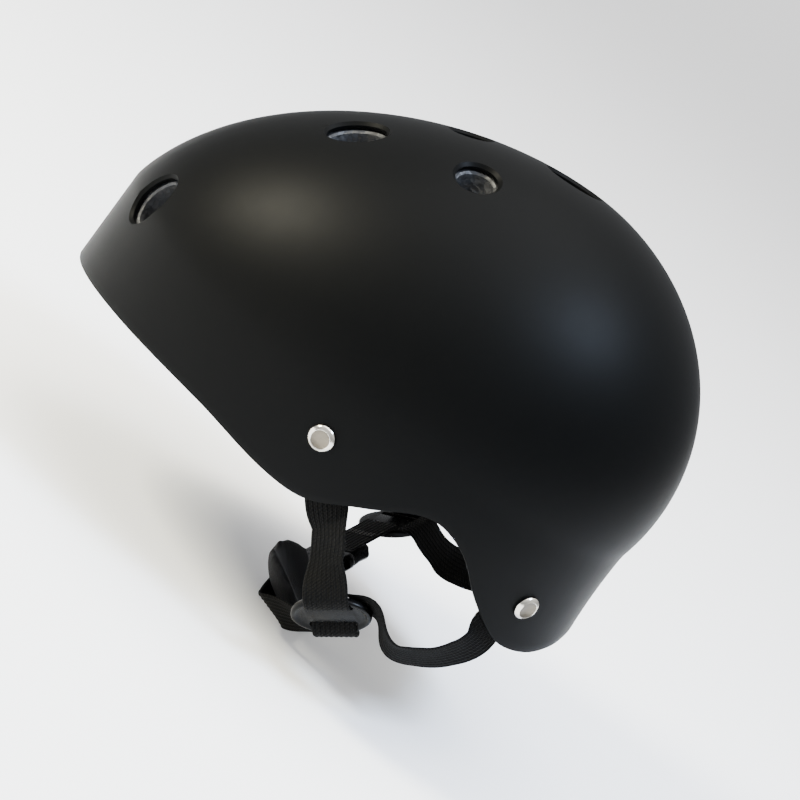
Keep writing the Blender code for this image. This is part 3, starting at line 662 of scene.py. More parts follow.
def shell_material():
    """Satin black moulded plastic: fine grain, slow waviness, faint dust and handling marks."""
    n = Nodes("shell_plastic_look")
    clouds = n.noise(9.0, 3.0)
    grain = n.noise(1900.0, 3.0, 0.6)
    wave = n.noise(38.0, 2.0)
    dust = n.ramp(n.noise(620.0, 2.0, 0.7), [(0.70, (0, 0, 0)), (0.80, (1, 1, 1))])
    base = n.mix(clouds, (0.0009, 0.001, 0.001), (0.0018, 0.0019, 0.0019))
    marks = n.spread(dust, 0.0, 0.035)
    colour = n.mix(marks, base, (0.10, 0.10, 0.098))
    rough = n.math("ADD", n.spread(n.noise(26.0, 5.0, 0.65), 0.40, 0.50), n.spread(grain, -0.03, 0.03))
    soft = n.bump(wave, 0.10, 0.0006)
    fine = n.bump(grain, 0.16, 0.00012, soft)
    return n.finish(colour, rough, fine, Specular_IOR_Level=0.036)


def foam_material():
    """Closed-cell bead foam: packed rounded beads with dark seams between them."""
    n = Nodes("liner_foam_look")
    bead = n.cells(330.0)
    seam = n.cells(330.0, "DISTANCE_TO_EDGE")
    pores = n.noise(2200.0, 2.0)
    dark = n.ramp(seam, [(0.0, (0.002, 0.002, 0.002)), (0.16, (0.008, 0.008, 0.009))])
    colour = n.mix(n.spread(bead, 0.0, 0.8), dark, (0.014, 0.015, 0.017))
    rough = n.spread(pores, 0.42, 0.72)
    round_beads = n.bump(n.spread(bead, 1.0, 0.0), 0.75, 0.0011)
    return n.finish(colour, rough, n.bump(pores, 0.2, 0.0001, round_beads), Specular_IOR_Level=0.5)


def knit_material(name, low, high, sheen):
    """Brushed warp-knit over foam: fine loops, fuzz and a soft sheen."""
    n = Nodes(name)
    loops = n.cells(1500.0)
    fuzz = n.noise(900.0, 6.0, 0.75)
    patches = n.noise(60.0, 4.0)
    colour = n.mix(n.math("MULTIPLY", fuzz, patches), low, high)
    loop_bump = n.bump(loops, 0.5, 0.00025)
    soft = n.bump(fuzz, 0.4, 0.0003, loop_bump)
    rough = n.spread(fuzz, 0.72, 0.95)
    return n.finish(colour, rough, soft, Sheen_Weight=sheen, Sheen_Roughness=0.4, Specular_IOR_Level=0.15)


def webbing_material():
    """Ribbed nylon webbing. The mesh carries its ribs, and u and v run across and along it in metres."""
    n = Nodes("webbing_look")
    uv = n.add("ShaderNodeUVMap", uv_map="weave").outputs["UV"]
    split = n.add("ShaderNodeSeparateXYZ")
    n.link(uv, split.inputs["Vector"])
    across = n.math("MULTIPLY", split.outputs["X"], 2 * math.pi / 0.0011)
    along = n.math("MULTIPLY", split.outputs["Y"], 2 * math.pi / 0.0016)
    shifted = n.math("ADD", along, n.math("MULTIPLY", across, 0.5))
    warp = n.math("SINE", across, 0.0)
    weft = n.math("SINE", shifted, 0.0)
    weave = n.math("MULTIPLY", n.math("ADD", warp, 1.2), n.math("ADD", weft, 1.2))
    fuzz = n.noise(2600.0, 3.0, 0.7)
    wear = n.noise(140.0, 4.0, 0.6)
    shade = n.spread(weave, 0.0, 1.0, 0.0, 4.84)
    light = n.mix(wear, (0.0024, 0.0023, 0.002), (0.0058, 0.0054, 0.0046))
    colour = n.mix(shade, (0.0006, 0.0006, 0.0006), light)
    threads = n.bump(weave, 0.55, 0.00022)
    normal = n.bump(fuzz, 0.25, 0.00012, threads)
    return n.finish(colour, n.spread(fuzz, 0.55, 0.85), normal, Specular_IOR_Level=0.055)


def plastic_material(name, colour, rough):
    """Moulded buckle plastic: fine spark-erosion texture with rubbed patches."""
    n = Nodes(name)
    grain = n.noise(3200.0, 2.0, 0.6)
    rub = n.noise(180.0, 5.0, 0.6)
    brighter = tuple(v * 1.7 + 0.0012 for v in colour)
    tint = n.mix(n.spread(rub, 0.0, 0.5), colour, brighter)
    roughness = n.math("ADD", n.spread(rub, rough - 0.09, rough + 0.09), n.spread(grain, -0.03, 0.03))
    return n.finish(tint, roughness, n.bump(grain, 0.14, 0.00008), Specular_IOR_Level=0.06)


def nickel_material(name, low, high, grain_strength, low_tone, high_tone):
    """Plated metal with fine scuffs."""
    n = Nodes(name)
    scuffs = n.noise(750.0, 6.0, 0.75)
    tarnish = n.noise(240.0, 4.0)
    colour = n.mix(tarnish, low_tone, high_tone)
    rough = n.spread(scuffs, low, high)
    return n.finish(colour, rough, n.bump(scuffs, grain_strength, 0.00006), Metallic=1.0)


def thread_material():
    n = Nodes("thread_look")
    twist = n.noise(4200.0, 2.0)
    colour = n.mix(twist, (0.018, 0.017, 0.016), (0.060, 0.056, 0.052))
    return n.finish(colour, 0.7, n.bump(twist, 0.4, 0.0001), Sheen_Weight=0.2)


def floor_material():
    n = Nodes("floor_look")
    tone = n.noise(2.0, 2.0)
    colour = n.mix(tone, (0.93, 0.93, 0.93), (0.95, 0.95, 0.95))
    return n.finish(colour, 0.75, Specular_IOR_Level=0.1, Emission_Color=FLOOR_GLOW, Emission_Strength=0.2)


# -------- shell and liner


def dome(name, inset, thick, lift, azimuths, rows, look):
    """Smooth cap between two offsets of the outer surface, with a round edge along the rim."""
    columns = []
    for k in range(azimuths):
        azimuth = 360.0 * k / azimuths
        low = rim_height(azimuth) + lift + thick * EDGE_BULGE
        outer = []
        inner = []
        for row in range(rows):
            height = low + (CROWN_Z - low) * math.sin(math.pi / 2 * row / rows)
            point, upwards, normal = surface_frame(azimuth, height)
            outer.append(point - normal * inset)
            inner.append(point - normal * (inset + thick))
            if row == 0:
                down = -upwards
        middle = (outer[0] + inner[0]) / 2
        across = outer[0] - middle
        edge = []
        for i in range(1, EDGE_STEPS):
            turn = math.pi * i / EDGE_STEPS
            flat = abs(math.sin(turn)) ** EDGE_POWER
            edge.append(middle + across * math.cos(turn) + down * (thick * EDGE_BULGE * flat))
        columns.append(list(reversed(outer)) + edge + inner)
    crown = surface(0, CROWN_Z)
    bm = bmesh.new()
    grid = [[bm.verts.new(point) for point in column] for column in columns]
    top = bm.verts.new(crown - Vector((0, 0, inset)))
    bottom = bm.verts.new(crown - Vector((0, 0, inset + thick)))
    for k in range(azimuths):
        here = grid[k]
        beside = grid[(k + 1) % azimuths]
        bm.faces.new((top, beside[0], here[0]))
        bm.faces.new((bottom, here[-1], beside[-1]))
        for row in range(len(here) - 1):
            bm.faces.new((here[row], beside[row], beside[row + 1], here[row + 1]))
    return add_mesh(name, bm, look)


def vent_cutter(vent, shrink, levels):
    """Oval plug that follows the outer surface. Levels are (depth below the surface, growth)."""
    azimuth, height, half_length, half_width = vent
    point, upwards, normal = surface_frame(azimuth, height * MM)
    aside = normal.cross(upwards)
    rings = []
    for depth, grow in levels:
        ring = []
        outline = oval(half_length * MM - shrink + grow, half_width * MM - shrink + grow, VENT_SIDES)
        for x, y in outline:
            near = drop_to_surface(point + upwards * x + aside * y, normal)
            ring.append(near - normal * depth)
        rings.append(ring)
    return loft("cut_vent", rings, None)


def roll_levels(start, radius, end):
    """Levels of a hole whose mouth is rounded by a quarter circle that begins at a depth."""
    wide = radius * ROLL_FLARE
    levels = [(start - ROLL_ABOVE, wide), (start - ROLL_SKIN, wide)]
    for i in range(ROLL_STEPS + 1):
        turn = math.radians(90 * i / ROLL_STEPS)
        levels.append((start + radius * math.sin(turn), radius * (1 - math.cos(math.pi / 2 - turn))))
    levels.append((end, 0.0))
    return levels


def rivet_frames():
    """Names and frames of the rivets: z outwards, x along the webbing towards the rim."""
    frames = []
    for end, route in (("front", FRONT_ROUTE), ("rear", REAR_ROUTE)):
        for side, sign in (("left", 1), ("right", -1)):
            azimuth, height = route[1]
            point, _, normal = surface_frame(sign * azimuth, height * MM)
            ahead = surface(sign * route[2][0], route[2][1] * MM) - point
            frames.append((end + "_" + side, axes_frame(point, ahead, normal)))
    return frames


def build_shell(look):
    azimuths, rows = SHELL_GRID[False]
    shell = dome("shell_skin", 0.0, SHELL_THICK, 0.0, azimuths, rows, look)
    levels = roll_levels(0.0, VENT_ROLL, SHELL_VENT_DEEP)
    cutters = [vent_cutter(vent, 0.0, levels) for vent in VENTS]
    hole = oval(RIVET_HOLE_R, RIVET_HOLE_R, RIVET_HOLE_SIDES)
    for _, place in rivet_frames():
        cutters.append(prism("cut_rivet", hole, place, -RIVET_HOLE_IN, RIVET_HOLE_OUT))
    subtract(shell, cutters)
    shell.data.polygons.foreach_set("use_smooth", [True] * len(shell.data.polygons))
    shell.data.set_sharp_from_angle(angle=math.radians(SHARP_ANGLE))
    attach(shell, "helmet")
    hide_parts("outer_shell")


def build_liner(look):
    azimuths, rows = LINER_GRID[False]
    liner = dome("liner_foam_body", LINER_INSET, LINER_THICK, LINER_LIFT, azimuths, rows, look)
    levels = roll_levels(LINER_INSET, LINER_VENT_ROLL, LINER_VENT_DEEP)
    cutters = [vent_cutter(vent, LINER_VENT_SHRINK, levels) for vent in VENTS]
    for _, place in rivet_frames():
        half = CHANNEL_WIDTH / 2
        outline = rectangle(-CHANNEL_BACK, CHANNEL_AHEAD, -half, half)
        cutters.append(prism("cut_channel", outline, place, -CHANNEL_DEPTH, CHANNEL_OUT))
    subtract(liner, cutters)
    liner.data.polygons.foreach_set("use_smooth", [True] * len(liner.data.polygons))
    liner.data.set_sharp_from_angle(angle=math.radians(SHARP_ANGLE))
    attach(liner, "helmet")
    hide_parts("foam_liner")


# -------- pads


def puff(thing, swell):
    """Inflates a closed pad with cloth pressure and keeps each point within a swell of its start."""
    remesh = thing.modifiers.new("remesh", "REMESH")
    remesh.mode = "VOXEL"
    remesh.voxel_size = PAD_VOXEL
    bake(thing)
    start = np.array([v.co for v in thing.data.vertices], float)
    cloth = thing.modifiers.new("cloth", "CLOTH")
    cloth.settings.quality = CLOTH_QUALITY
    cloth.settings.mass = CLOTH_MASS
    cloth.settings.use_pressure = True
    cloth.settings.uniform_pressure_force = CLOTH_PRESSURE
    cloth.settings.effector_weights.gravity = 0.0
    cloth.collision_settings.use_collision = False
    scene = bpy.context.scene
    for step in range(1, CLOTH_FRAMES + 1):
        scene.frame_set(step)
    bake(thing)
    scene.frame_set(1)
    found = np.array([v.co for v in thing.data.vertices], float)
    move = found - start
    length = np.linalg.norm(move, axis=1, keepdims=True)
    move *= np.minimum(1.0, swell / np.maximum(length, 1e-9))
    thing.data.vertices.foreach_set("co", (start + move).ravel())
    smooth = thing.modifiers.new("smooth", "SMOOTH")
    smooth.factor = SMOOTH_FACTOR
    smooth.iterations = SMOOTH_ROUNDS
    detail = thing.modifiers.new("detail", "SUBSURF")
    detail.levels = 1
    detail.render_levels = 1
    bake(thing)
    thing.data.polygons.foreach_set("use_smooth", [True] * len(thing.data.polygons))


def liner_pad(name, azimuths, heights, look):
    """Rounded comfort pad that follows the liner's inner face."""
    middle = (heights[0] + heights[1]) / 2 * MM
    tall = (heights[1] - heights[0]) / 2 * MM * PAD_SHRINK_HIGH
    reach = (azimuths[1] - azimuths[0]) / 2 * PAD_SHRINK_ROUND
    rings = []
    for k in range(PAD_COLUMNS + 1):
        s = -1 + 2 * k / PAD_COLUMNS
        taper = max(1 - abs(s) ** PAD_TAPER, 0.0) ** 0.5
        azimuth = (azimuths[0] + azimuths[1]) / 2 + s * reach
        half = tall * (PAD_END + (1 - PAD_END) * taper)
        ring = []
        for i in range(PAD_ROWS):
            turn = 2 * math.pi * i / PAD_ROWS
            x = math.copysign(abs(math.cos(turn)) ** PAD_ROUND, math.cos(turn))
            y = math.copysign(abs(math.sin(turn)) ** PAD_FLAT, math.sin(turn))
            point, _, normal = surface_frame(azimuth, middle + half * x)
            full = PAD_END_DEPTH + (1 - PAD_END_DEPTH) * taper
            depth = PAD_INSET + PAD_THICK * (0.5 - PAD_HALF_DEPTH * y * full)
            ring.append(point - normal * depth)
        rings.append(ring)
    pad = loft(name + "_soft", rings, look)
    puff(pad, PAD_SWELL)
    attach(pad, "helmet")
    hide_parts(name)


def crown_pad(look):
    low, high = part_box("pad_crown")
    centre = (low + high) / 2
    place = axes_frame(centre, Vector((1, 0, 0)), CROWN_PAD_AXIS)
    rings = []
    for z, grow in CROWN_PAD_RINGS:
        outline = oval(CROWN_PAD_HALF_X + grow * MM, CROWN_PAD_HALF_Y + grow * MM, CROWN_PAD_SIDES)
        rings.append([place @ Vector((x, y, z * MM)) for x, y in outline])
    pad = loft("pad_crown_soft", rings, look)
    puff(pad, PAD_SWELL)
    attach(pad, "helmet")
    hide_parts("pad_crown")


def chin_cup(look):
    """Moulded chin cup: its ends and its front edge curl up round the chin."""
    place = cup_frame()
    rings = []
    for k in range(CUP_STEPS + 1):
        s = math.sin(math.pi / 2 * (-1 + 2 * k / CUP_STEPS))
        outline = max(1 - abs(s) ** CUP_OUTLINE[0], 0.0) ** CUP_OUTLINE[1]
        half = CUP_HALF_WIDE * (CUP_TIP_WIDE + (1 - CUP_TIP_WIDE) * outline)
        half_thick = CUP_HALF_THICK * (CUP_TIP_THICK + (1 - CUP_TIP_THICK) * outline)
        ring = []
        for i in range(CUP_SIDES):
            turn = 2 * math.pi * i / CUP_SIDES
            t = math.copysign(abs(math.cos(turn)) ** CUP_SECTION, math.cos(turn)) * half / CUP_HALF_WIDE
            side = math.copysign(abs(math.sin(turn)) ** CUP_SECTION, math.sin(turn))
            curl = CUP_END_LIFT * s * s + CUP_EDGE_LIFT * t * t - CUP_FRONT_LIFT * t
            ring.append(place @ Vector((s * CUP_HALF_LONG, t * CUP_HALF_WIDE, curl + side * half_thick)))
        rings.append(ring)
    cup = loft("chin_pad_soft", rings, look)
    puff(cup, CUP_SWELL)
    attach(cup, "chin_pad")
    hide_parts("chin_pad")


# -------- webbing


def smooth_path(stations, spacing):
    """Points and width directions through the stations, about a spacing apart."""
    places = [Vector(place) for place, _ in stations]
    sides = [Vector(side).normalized() for _, side in stations]
    path = []
    for i in range(len(places) - 1):
        before = places[max(i - 1, 0)]
        after = places[min(i + 2, len(places) - 1)]
        span = (places[i + 1] - places[i]).length
        slope0 = (places[i + 1] - before).normalized() * span
        slope1 = (after - places[i]).normalized() * span
        steps = max(2, round((places[i + 1] - places[i]).length / spacing))
        last = steps + 1 if i == len(places) - 2 else steps
        for k in range(last):
            t = k / steps
            here = hermite(places[i], places[i + 1], slope0, slope1, t)
            ease = t * t * (3 - 2 * t)
            path.append((here, sides[i].lerp(sides[i + 1], ease).normalized()))
    return path


def web_outline():
    """Cross-section of ribbed webbing as (across, through, u), once round."""
    half = WEB_WIDTH / 2
    steps = WEB_RIBS * RIB_STEPS
    upper = []
    for i in range(steps + 1):
        s = -1 + 2 * i / steps
        rib = RIB_HEIGHT * math.cos(math.pi * WEB_RIBS * (s + 1))
        edge = min(1.0, (1 - abs(s)) * WEB_ROUND)
        through = (WEB_THICK / 2 - RIB_HEIGHT - rib) * (WEB_EDGE + (1 - WEB_EDGE) * math.sqrt(edge))
        upper.append((half * s, through, half * (s + 1)))
    lower = [(a, -b, u) for a, b, u in reversed(upper)]
    return upper + lower


def webbing(name, stations, look):
    """Ribbed webbing along the stations, with a weave layer of (across, along) in metres."""
    path = smooth_path(stations, WEB_SPACING)
    outline = web_outline()
    count = len(outline)
    bm = bmesh.new()
    layer = bm.loops.layers.uv.new("weave")
    rings = []
    lengths = []
    total = 0.0
    for i, (here, side) in enumerate(path):
        ahead = path[min(i + 1, len(path) - 1)][0] - path[max(i - 1, 0)][0]
        ahead.normalize()
        across = (side - ahead * side.dot(ahead)).normalized()
        normal = ahead.cross(across).normalized()
        rings.append([bm.verts.new(here + across * a + normal * b) for a, b, _ in outline])
        if i:
            total += (here - path[i - 1][0]).length
        lengths.append(total)
    for k in range(len(rings) - 1):
        for i in range(count):
            j = (i + 1) % count
            face = bm.faces.new((rings[k][i], rings[k][j], rings[k + 1][j], rings[k + 1][i]))
            along = (lengths[k], lengths[k], lengths[k + 1], lengths[k + 1])
            for loop, around, v in zip(face.loops, (i, j, j, i), along):
                loop[layer].uv = (outline[around][2], v)
    bm.faces.new(rings[0])
    bm.faces.new(rings[-1])
    return add_mesh(name, bm, look)


def stitches(name, place, rows, look):
    """Bar tack: short thread stitches lying across the webbing at a place."""
    bm = bmesh.new()
    for x0, x1, y0, y1 in rows:
        length = math.hypot(x1 - x0, y1 - y0)
        count = max(2, int(length / STITCH_LENGTH))
        for i in range(count):
            s0 = (i + STITCH_GAP) / count
            s1 = (i + 1 - STITCH_GAP) / count
            a = Vector((x0 + (x1 - x0) * s0, y0 + (y1 - y0) * s0, 0))
            b = Vector((x0 + (x1 - x0) * s1, y0 + (y1 - y0) * s1, 0))
            ahead = (b - a).normalized()
            side = Vector((-ahead.y, ahead.x, 0))
            rings = []
            for k in range(STITCH_STEPS + 1):
                t = k / STITCH_STEPS
                arch = STITCH_ARCH * math.sin(math.pi * t)
                radius = STITCH_RADIUS * (STITCH_END + (1 - STITCH_END) * math.sin(math.pi * t) ** 0.5)
                middle = a.lerp(b, t) + Vector((0, 0, arch))
                ring = []
                for j in range(STITCH_SIDES):
                    turn = 2 * math.pi * j / STITCH_SIDES
                    offset = side * math.cos(turn) * radius + Vector((0, 0, math.sin(turn) * radius))
                    ring.append(bm.verts.new(place @ (middle + offset)))
                rings.append(ring)
            for lower, upper in zip(rings, rings[1:]):
                for j in range(STITCH_SIDES):
                    m = (j + 1) % STITCH_SIDES
                    bm.faces.new((lower[j], lower[m], upper[m], upper[j]))
            bm.faces.new(rings[0])
            bm.faces.new(rings[-1])
    return add_mesh(name, bm, look)


def divider_axes():
    """Long axis, axis towards the chin and outward normal of the left divider."""
    long_axis = PLATE_TILT.normalized()
    chin_axis = (PLATE_CHIN - long_axis * PLATE_CHIN.dot(long_axis)).normalized()
    return long_axis, chin_axis, chin_axis.cross(long_axis)


def right_axes():
    """Width axis, axis towards the chin and outward normal of the right divider."""
    chin_axis = (BEND_AT - mirrored(DIVIDER_AT)).normalized()
    width = (PLATE_TILT - chin_axis * PLATE_TILT.dot(chin_axis)).normalized()
    return width, chin_axis, width.cross(chin_axis)


def mirrored(point):
    return Vector((-point.x, point.y, point.z))


def route_stations(route):
    """Stations of the webbing behind the shell, flat against it."""
    places = [surface(azimuth, height * MM) for azimuth, height in route]
    stations = []
    for i, (azimuth, height) in enumerate(route):
        point, _, normal = surface_frame(azimuth, height * MM)
        ahead = places[min(i + 1, len(route) - 1)] - places[max(i - 1, 0)]
        stations.append((point - normal * WEB_DEPTH, normal.cross(ahead).normalized()))
    return stations


def side_divider(side):
    """Centre, long axis, chin axis and outward normal of a divider."""
    if side == "left":
        long_axis, chin_axis, normal = divider_axes()
        centre = DIVIDER_AT
    else:
        long_axis, chin_axis, normal = right_axes()
        centre = mirrored(DIVIDER_AT)
    if normal.dot(centre) < 0:
        normal = -normal
    return centre, long_axis, chin_axis, normal


def plate_place(side, spot):
    """Point at a spot (long, chin, normal) of a divider, in millimetres from its middle."""
    centre, long_axis, chin_axis, normal = side_divider(side)
    along, down, out = spot
    return centre + (long_axis * along + chin_axis * down + normal * out) * MM


def to_side(side, stations):
    """Stations of the left side, mirrored for the right side."""
    if side == "left":
        return [(Vector(place), Vector(width)) for place, width in stations]
    return [(mirrored(Vector(place)), mirrored(Vector(width))) for place, width in stations]


def free_stations(listed):
    return [(Vector(place) * MM, Vector(width)) for place, width in listed]


def front_stations(side):
    """Front webbing: down from the rivet, a half fold below the rim, then through the upper slot."""
    long_axis = side_divider(side)[1]
    stations = to_side(side, route_stations(FRONT_ROUTE) + free_stations(FRONT_FREE))
    return stations + [(plate_place(side, spot), long_axis) for spot in FRONT_ON_PLATE[side]]


def rear_stations(side):
    """Rear webbing: sags forward from the nape and tucks behind the divider's long end."""
    chin_axis = side_divider(side)[2]
    stations = route_stations(REAR_ROUTE)
    if stations[-1][1].dot(divider_axes()[1]) < 0:
        stations = [(place, -width) for place, width in stations]
    stations = to_side(side, stations + free_stations(REAR_FREE))
    return stations + [(plate_place(side, spot), chin_axis) for spot in REAR_ON_PLATE[side]]


def chin_left_stations():
    """Chin webbing: behind the divider's bar, out through its lower slot, past the cup, to the buckle."""
    long_axis = side_divider("left")[1]
    right_width, right_chin, _ = right_axes()
    turn = plate_place("left", CHIN_TURN)
    cup_end = BEND_AT + CHIN_CUP_END
    stations = [(plate_place("left", spot), long_axis) for spot in CHIN_ON_PLATE]
    stations += [
        (turn, CHIN_TURN_WIDTH),
        (turn.lerp(cup_end, 0.5), CHIN_MIDDLE_WIDTH),
        (cup_end, CHIN_CUP_WIDTH),
    ]
    stations += [(BEND_AT + Vector((x, 0, 0)), CHIN_LEVEL) for x in CHIN_RUN]
    stations += [(BEND_AT - right_chin * along, right_width) for along in CHIN_AFTER_BEND]
    return stations


def build_webbing(look, thread):
    for side in ("left", "right"):
        for end, stations in (("front", front_stations(side)), ("rear", rear_stations(side))):
            strap = webbing("webbing_" + end + "_" + side, stations, look)
            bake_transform(strap)
            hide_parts("strap_" + end + "_" + side)
    stations = chin_left_stations()
    strap = webbing("webbing_chin_left", stations, look)
    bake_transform(strap)
    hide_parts("chin_strap_left")
    place = buckle_place()
    start = FEMALE_START + FEMALE_LENGTH + RIGHT_START_CLEAR
    length = (mirrored(DIVIDER_AT) - BEND_AT).length
    offset = strap_offset(place)
    width = place.to_3x3() @ Vector((1, 0, 0))
    ends = [start, start + RIGHT_RISE] + [length - short for short in RIGHT_ENDS]
    stations = [(place @ Vector((0, offset, along)), width) for along in ends]
    strap = webbing("webbing_chin_right", stations, look)
    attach(strap, "buckle_male")
    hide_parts("chin_strap_right")
    sign = 1 if offset > 0 else -1
    turn = Matrix.Rotation(math.radians(-90 * sign), 4, "X")
    lift = offset + sign * (WEB_THICK / 2 - STITCH_SINK)
    at = Matrix.Translation((0, lift, start + TACK_ALONG))
    rows = [(-TACK_HALF, TACK_HALF, row, row) for row in TACK_ROWS]
    sewn = stitches("bar_tack_right", place @ at @ turn, rows, thread)
    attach(sewn, "buckle_male")


# -------- hardware


def build_rivets(polished, satin_painted_reflection):
    for name, place in rivet_frames():
        profile = [(r * MM, h * MM) for r, h in RIVET_PROFILE]
        rivet = lathe("rivet_head_" + name, profile, place, polished)
        rivet.data.materials.append(satin_painted_reflection)
        # The flat top takes the satin nickel: its rougher finish is real, its dark colour is a painted
        # dark reflection
        centre = place @ Vector((0, 0, RIVET_TOP))
        for face in rivet.data.polygons:
            if (face.center - centre).length < RIVET_FLAT and len(face.vertices) == 3:
                face.material_index = 1
        rivet.data.set_sharp_from_angle(angle=RIVET_SHARP)
        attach(rivet, "helmet")
        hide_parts("rivet_" + name)
        inner = -(WEB_DEPTH + WASHER_BEHIND + GAP)
        profile = [(r * MM, inner + h * MM) for r, h in WASHER_PROFILE]
        washer = lathe("washer_ring_" + name, profile, place, polished)
        washer.data.set_sharp_from_angle(angle=RIVET_SHARP)
        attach(washer, "helmet")
        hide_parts("washer_" + name)


def build_divider(side, look):
    """Oval plate with a raised round rim, a dished middle and two webbing slots."""
    centre, long_axis, chin_axis, normal = side_divider(side)
    place = Matrix.Translation(centre) @ Matrix((long_axis, chin_axis, normal)).transposed().to_4x4()
    rings = []
    for z, grow in PLATE_LEVELS:
        outline = oval(DIVIDER_LONG / 2 + grow * MM, DIVIDER_SHORT / 2 + grow * MM, PLATE_SIDES)
        rings.append([place @ Vector((x, y, z * MM)) for x, y in outline])
    plate = loft("divider_plate_" + side, rings, look)
    cutters = []
    outline = rounded_box(WEB_WIDTH / 2 + SLOT_ROOM, SLOT_HALF, SLOT_CORNER)
    for low in SLOT_LOWS:
        slot_place = place @ Matrix.Translation((0, low + SLOT_HALF, 0))
        cutters.append(prism("cut_slot", outline, slot_place, -SLOT_CUT, SLOT_CUT))
    subtract(plate, cutters)
    soften(plate, *PLATE_EDGE)
    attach(plate, "divider_" + side)
    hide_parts("strap_divider_" + side)


def buckle_place():
    """Frame of the buckle: z along the right strap away from the chin, x across it, y through it."""
    width, chin_axis, _ = right_axes()
    return axes_frame(BEND_AT, width, -chin_axis)


def strap_offset(place):
    """Distance of the right strap from the divider's middle, along the buckle's y axis."""
    side = -1 if (place.to_3x3() @ Vector((0, 1, 0))).dot(mirrored(DIVIDER_AT)) > 0 else 1
    return side * (DIVIDER_THICK / 2 + GAP + STRAP_BEHIND)


def side_outline(stations, half_thick, corner, place, name, look):
    """Body whose half width varies along z, with rounded cross-sections. Stations are (z, half width)."""
    rings = []
    for z, half, squeeze in stations:
        outline = rounded_box(half, half_thick * squeeze, corner * squeeze)
        rings.append([place @ Vector((x, y, z)) for x, y in outline])
    return loft(name, rings, look)


def sections(foot, end, low, high, half):
    """Stations (z, half width, squeeze) of a body between two distances along z."""
    placed = [(low, row) for row in foot] + [(high, row) for row in end]
    return [(start + along * MM, half + grow * MM, squeeze) for start, (along, grow, squeeze) in placed]


def build_buckle(look, button_look):
    place = buckle_place()
    low = FEMALE_START
    high = low + FEMALE_LENGTH
    half = BUCKLE_WIDTH / 2
    thick = BUCKLE_THICK / 2
    stations = sections(HOUSING_FOOT, HOUSING_MOUTH, low, high, half)
    female = side_outline(stations, thick, HOUSING_CORNER, place, "buckle_housing", look)
    window = rectangle(-half - 2 * CUT_OVER, half + 2 * CUT_OVER, -CAVITY[1], CAVITY[1])
    bar = rounded_box(*WEB_BAR)
    thumb = Matrix.Translation((0, thick + THUMB_AT[0], low + THUMB_AT[1]))
    thumb = place @ (thumb @ Matrix.Rotation(RIGHT_ANGLE, 4, "Y"))
    cutters = [
        prism("cut_cavity", rounded_box(*CAVITY), place, high - CAVITY_DEPTH, high + CUT_OVER),
        prism("cut_window", window, place, high - WINDOW[0], high - WINDOW[1]),
        prism("cut_bar", bar, place, low + WEB_BAR_SPAN[0], low + WEB_BAR_SPAN[1]),
        prism("cut_thumb", rounded_box(*THUMB), thumb, -THUMB_HALF, THUMB_HALF),
    ]
    subtract(female, cutters)
    soften(female, *HOUSING_EDGE)
    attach(female, "helmet")
    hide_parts("buckle_female")
    build_male(look, place, high)
    for side in ("left", "right"):
        build_prong(side, button_look, place, high)


def build_male(look, place, mouth):
    low = mouth + GAP
    half = BUCKLE_WIDTH / 2 - CLIP_INSET
    thick = BUCKLE_THICK / 2
    end = low + MALE_LENGTH
    stations = sections(CLIP_FOOT, CLIP_END, low, end, half)
    male = side_outline(stations, thick, CLIP_CORNER, place, "buckle_clip", look)
    outline = rounded_box(*TONGUE)
    tongue = prism("add_tongue", outline, place, mouth - TONGUE_LENGTH, low + 2 * CUT_OVER)
    step = male.modifiers.new("tongue", "BOOLEAN")
    step.operation = "UNION"
    step.object = tongue
    bake(male)
    bpy.data.objects.remove(tongue, do_unlink=True)
    offset = strap_offset(place)
    across, through = CHANNEL
    channel = rectangle(-across, across, offset - through, offset + through)
    cutters = [prism("cut_channel", channel, place, low + CHANNEL_START, end + CUT_OVER)]
    for centre in (-SEAT_AT, SEAT_AT):
        seat = rectangle(centre - SEAT[0], centre + SEAT[0], -SEAT[1], SEAT[1])
        cutters.append(prism("cut_seat", seat, place, low - CUT_OVER, low + CUT_OVER))
    sign = 1 if offset > 0 else -1
    across, through, depth = GRIP
    bar = rectangle(-across, across, -through, through)
    for along in GRIPS:
        grip = Matrix.Translation((0, -sign * thick, low + along))
        grip = place @ (grip @ Matrix.Rotation(RIGHT_ANGLE, 4, "X"))
        cutters.append(prism("cut_grip", bar, grip, -depth, depth))
    subtract(male, cutters)
    soften(male, *CLIP_EDGE)
    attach(male, "buckle_male")
    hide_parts("buckle_male")


def build_prong(side, look, place, mouth):
    """Springy arm with a ribbed head that shows in the housing's side window."""
    sign = 1 if side == "left" else -1
    root = mouth + GAP + ARM_CLEAR
    points = [(x, root) for x in ARM_ROOT] + [(x * MM, mouth + z * MM) for x, z in ARM_OUTLINE]
    flat = place @ Matrix(((sign, 0, 0, 0), (0, 0, 1, 0), (0, 1, 0, 0), (0, 0, 0, 1)))
    arm = prism("buckle_arm_" + side, points, flat, -ARM_HALF, ARM_HALF, look)
    cutters = []
    for along in RIBS:
        rib = rectangle(*RIB_ACROSS, mouth - along - RIB_HALF, mouth - along + RIB_HALF)
        cutters.append(prism("cut_rib", rib, flat, -3 * CUT_OVER, 3 * CUT_OVER))
    subtract(arm, cutters)
    soften(arm, *ARM_EDGE)
    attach(arm, "prong_" + side)
    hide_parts("buckle_prong_" + side)


# -------- stage


def direction(azimuth, elevation):
    """Unit vector towards an azimuth (0 in front, 90 on the wearer's left) and an elevation."""
    a, e = math.radians(azimuth), math.radians(elevation)
    return Vector((math.sin(a) * math.cos(e), -math.cos(a) * math.cos(e), math.sin(e)))


def look_at(thing, place, target, top):
    """Points a camera or light at a target, with the top of its view towards a direction."""
    back = (place - target).normalized()
    right = top.cross(back).normalized()
    up = back.cross(right)
    thing.matrix_world = Matrix.Translation(place) @ Matrix((right, up, back)).transposed().to_4x4()


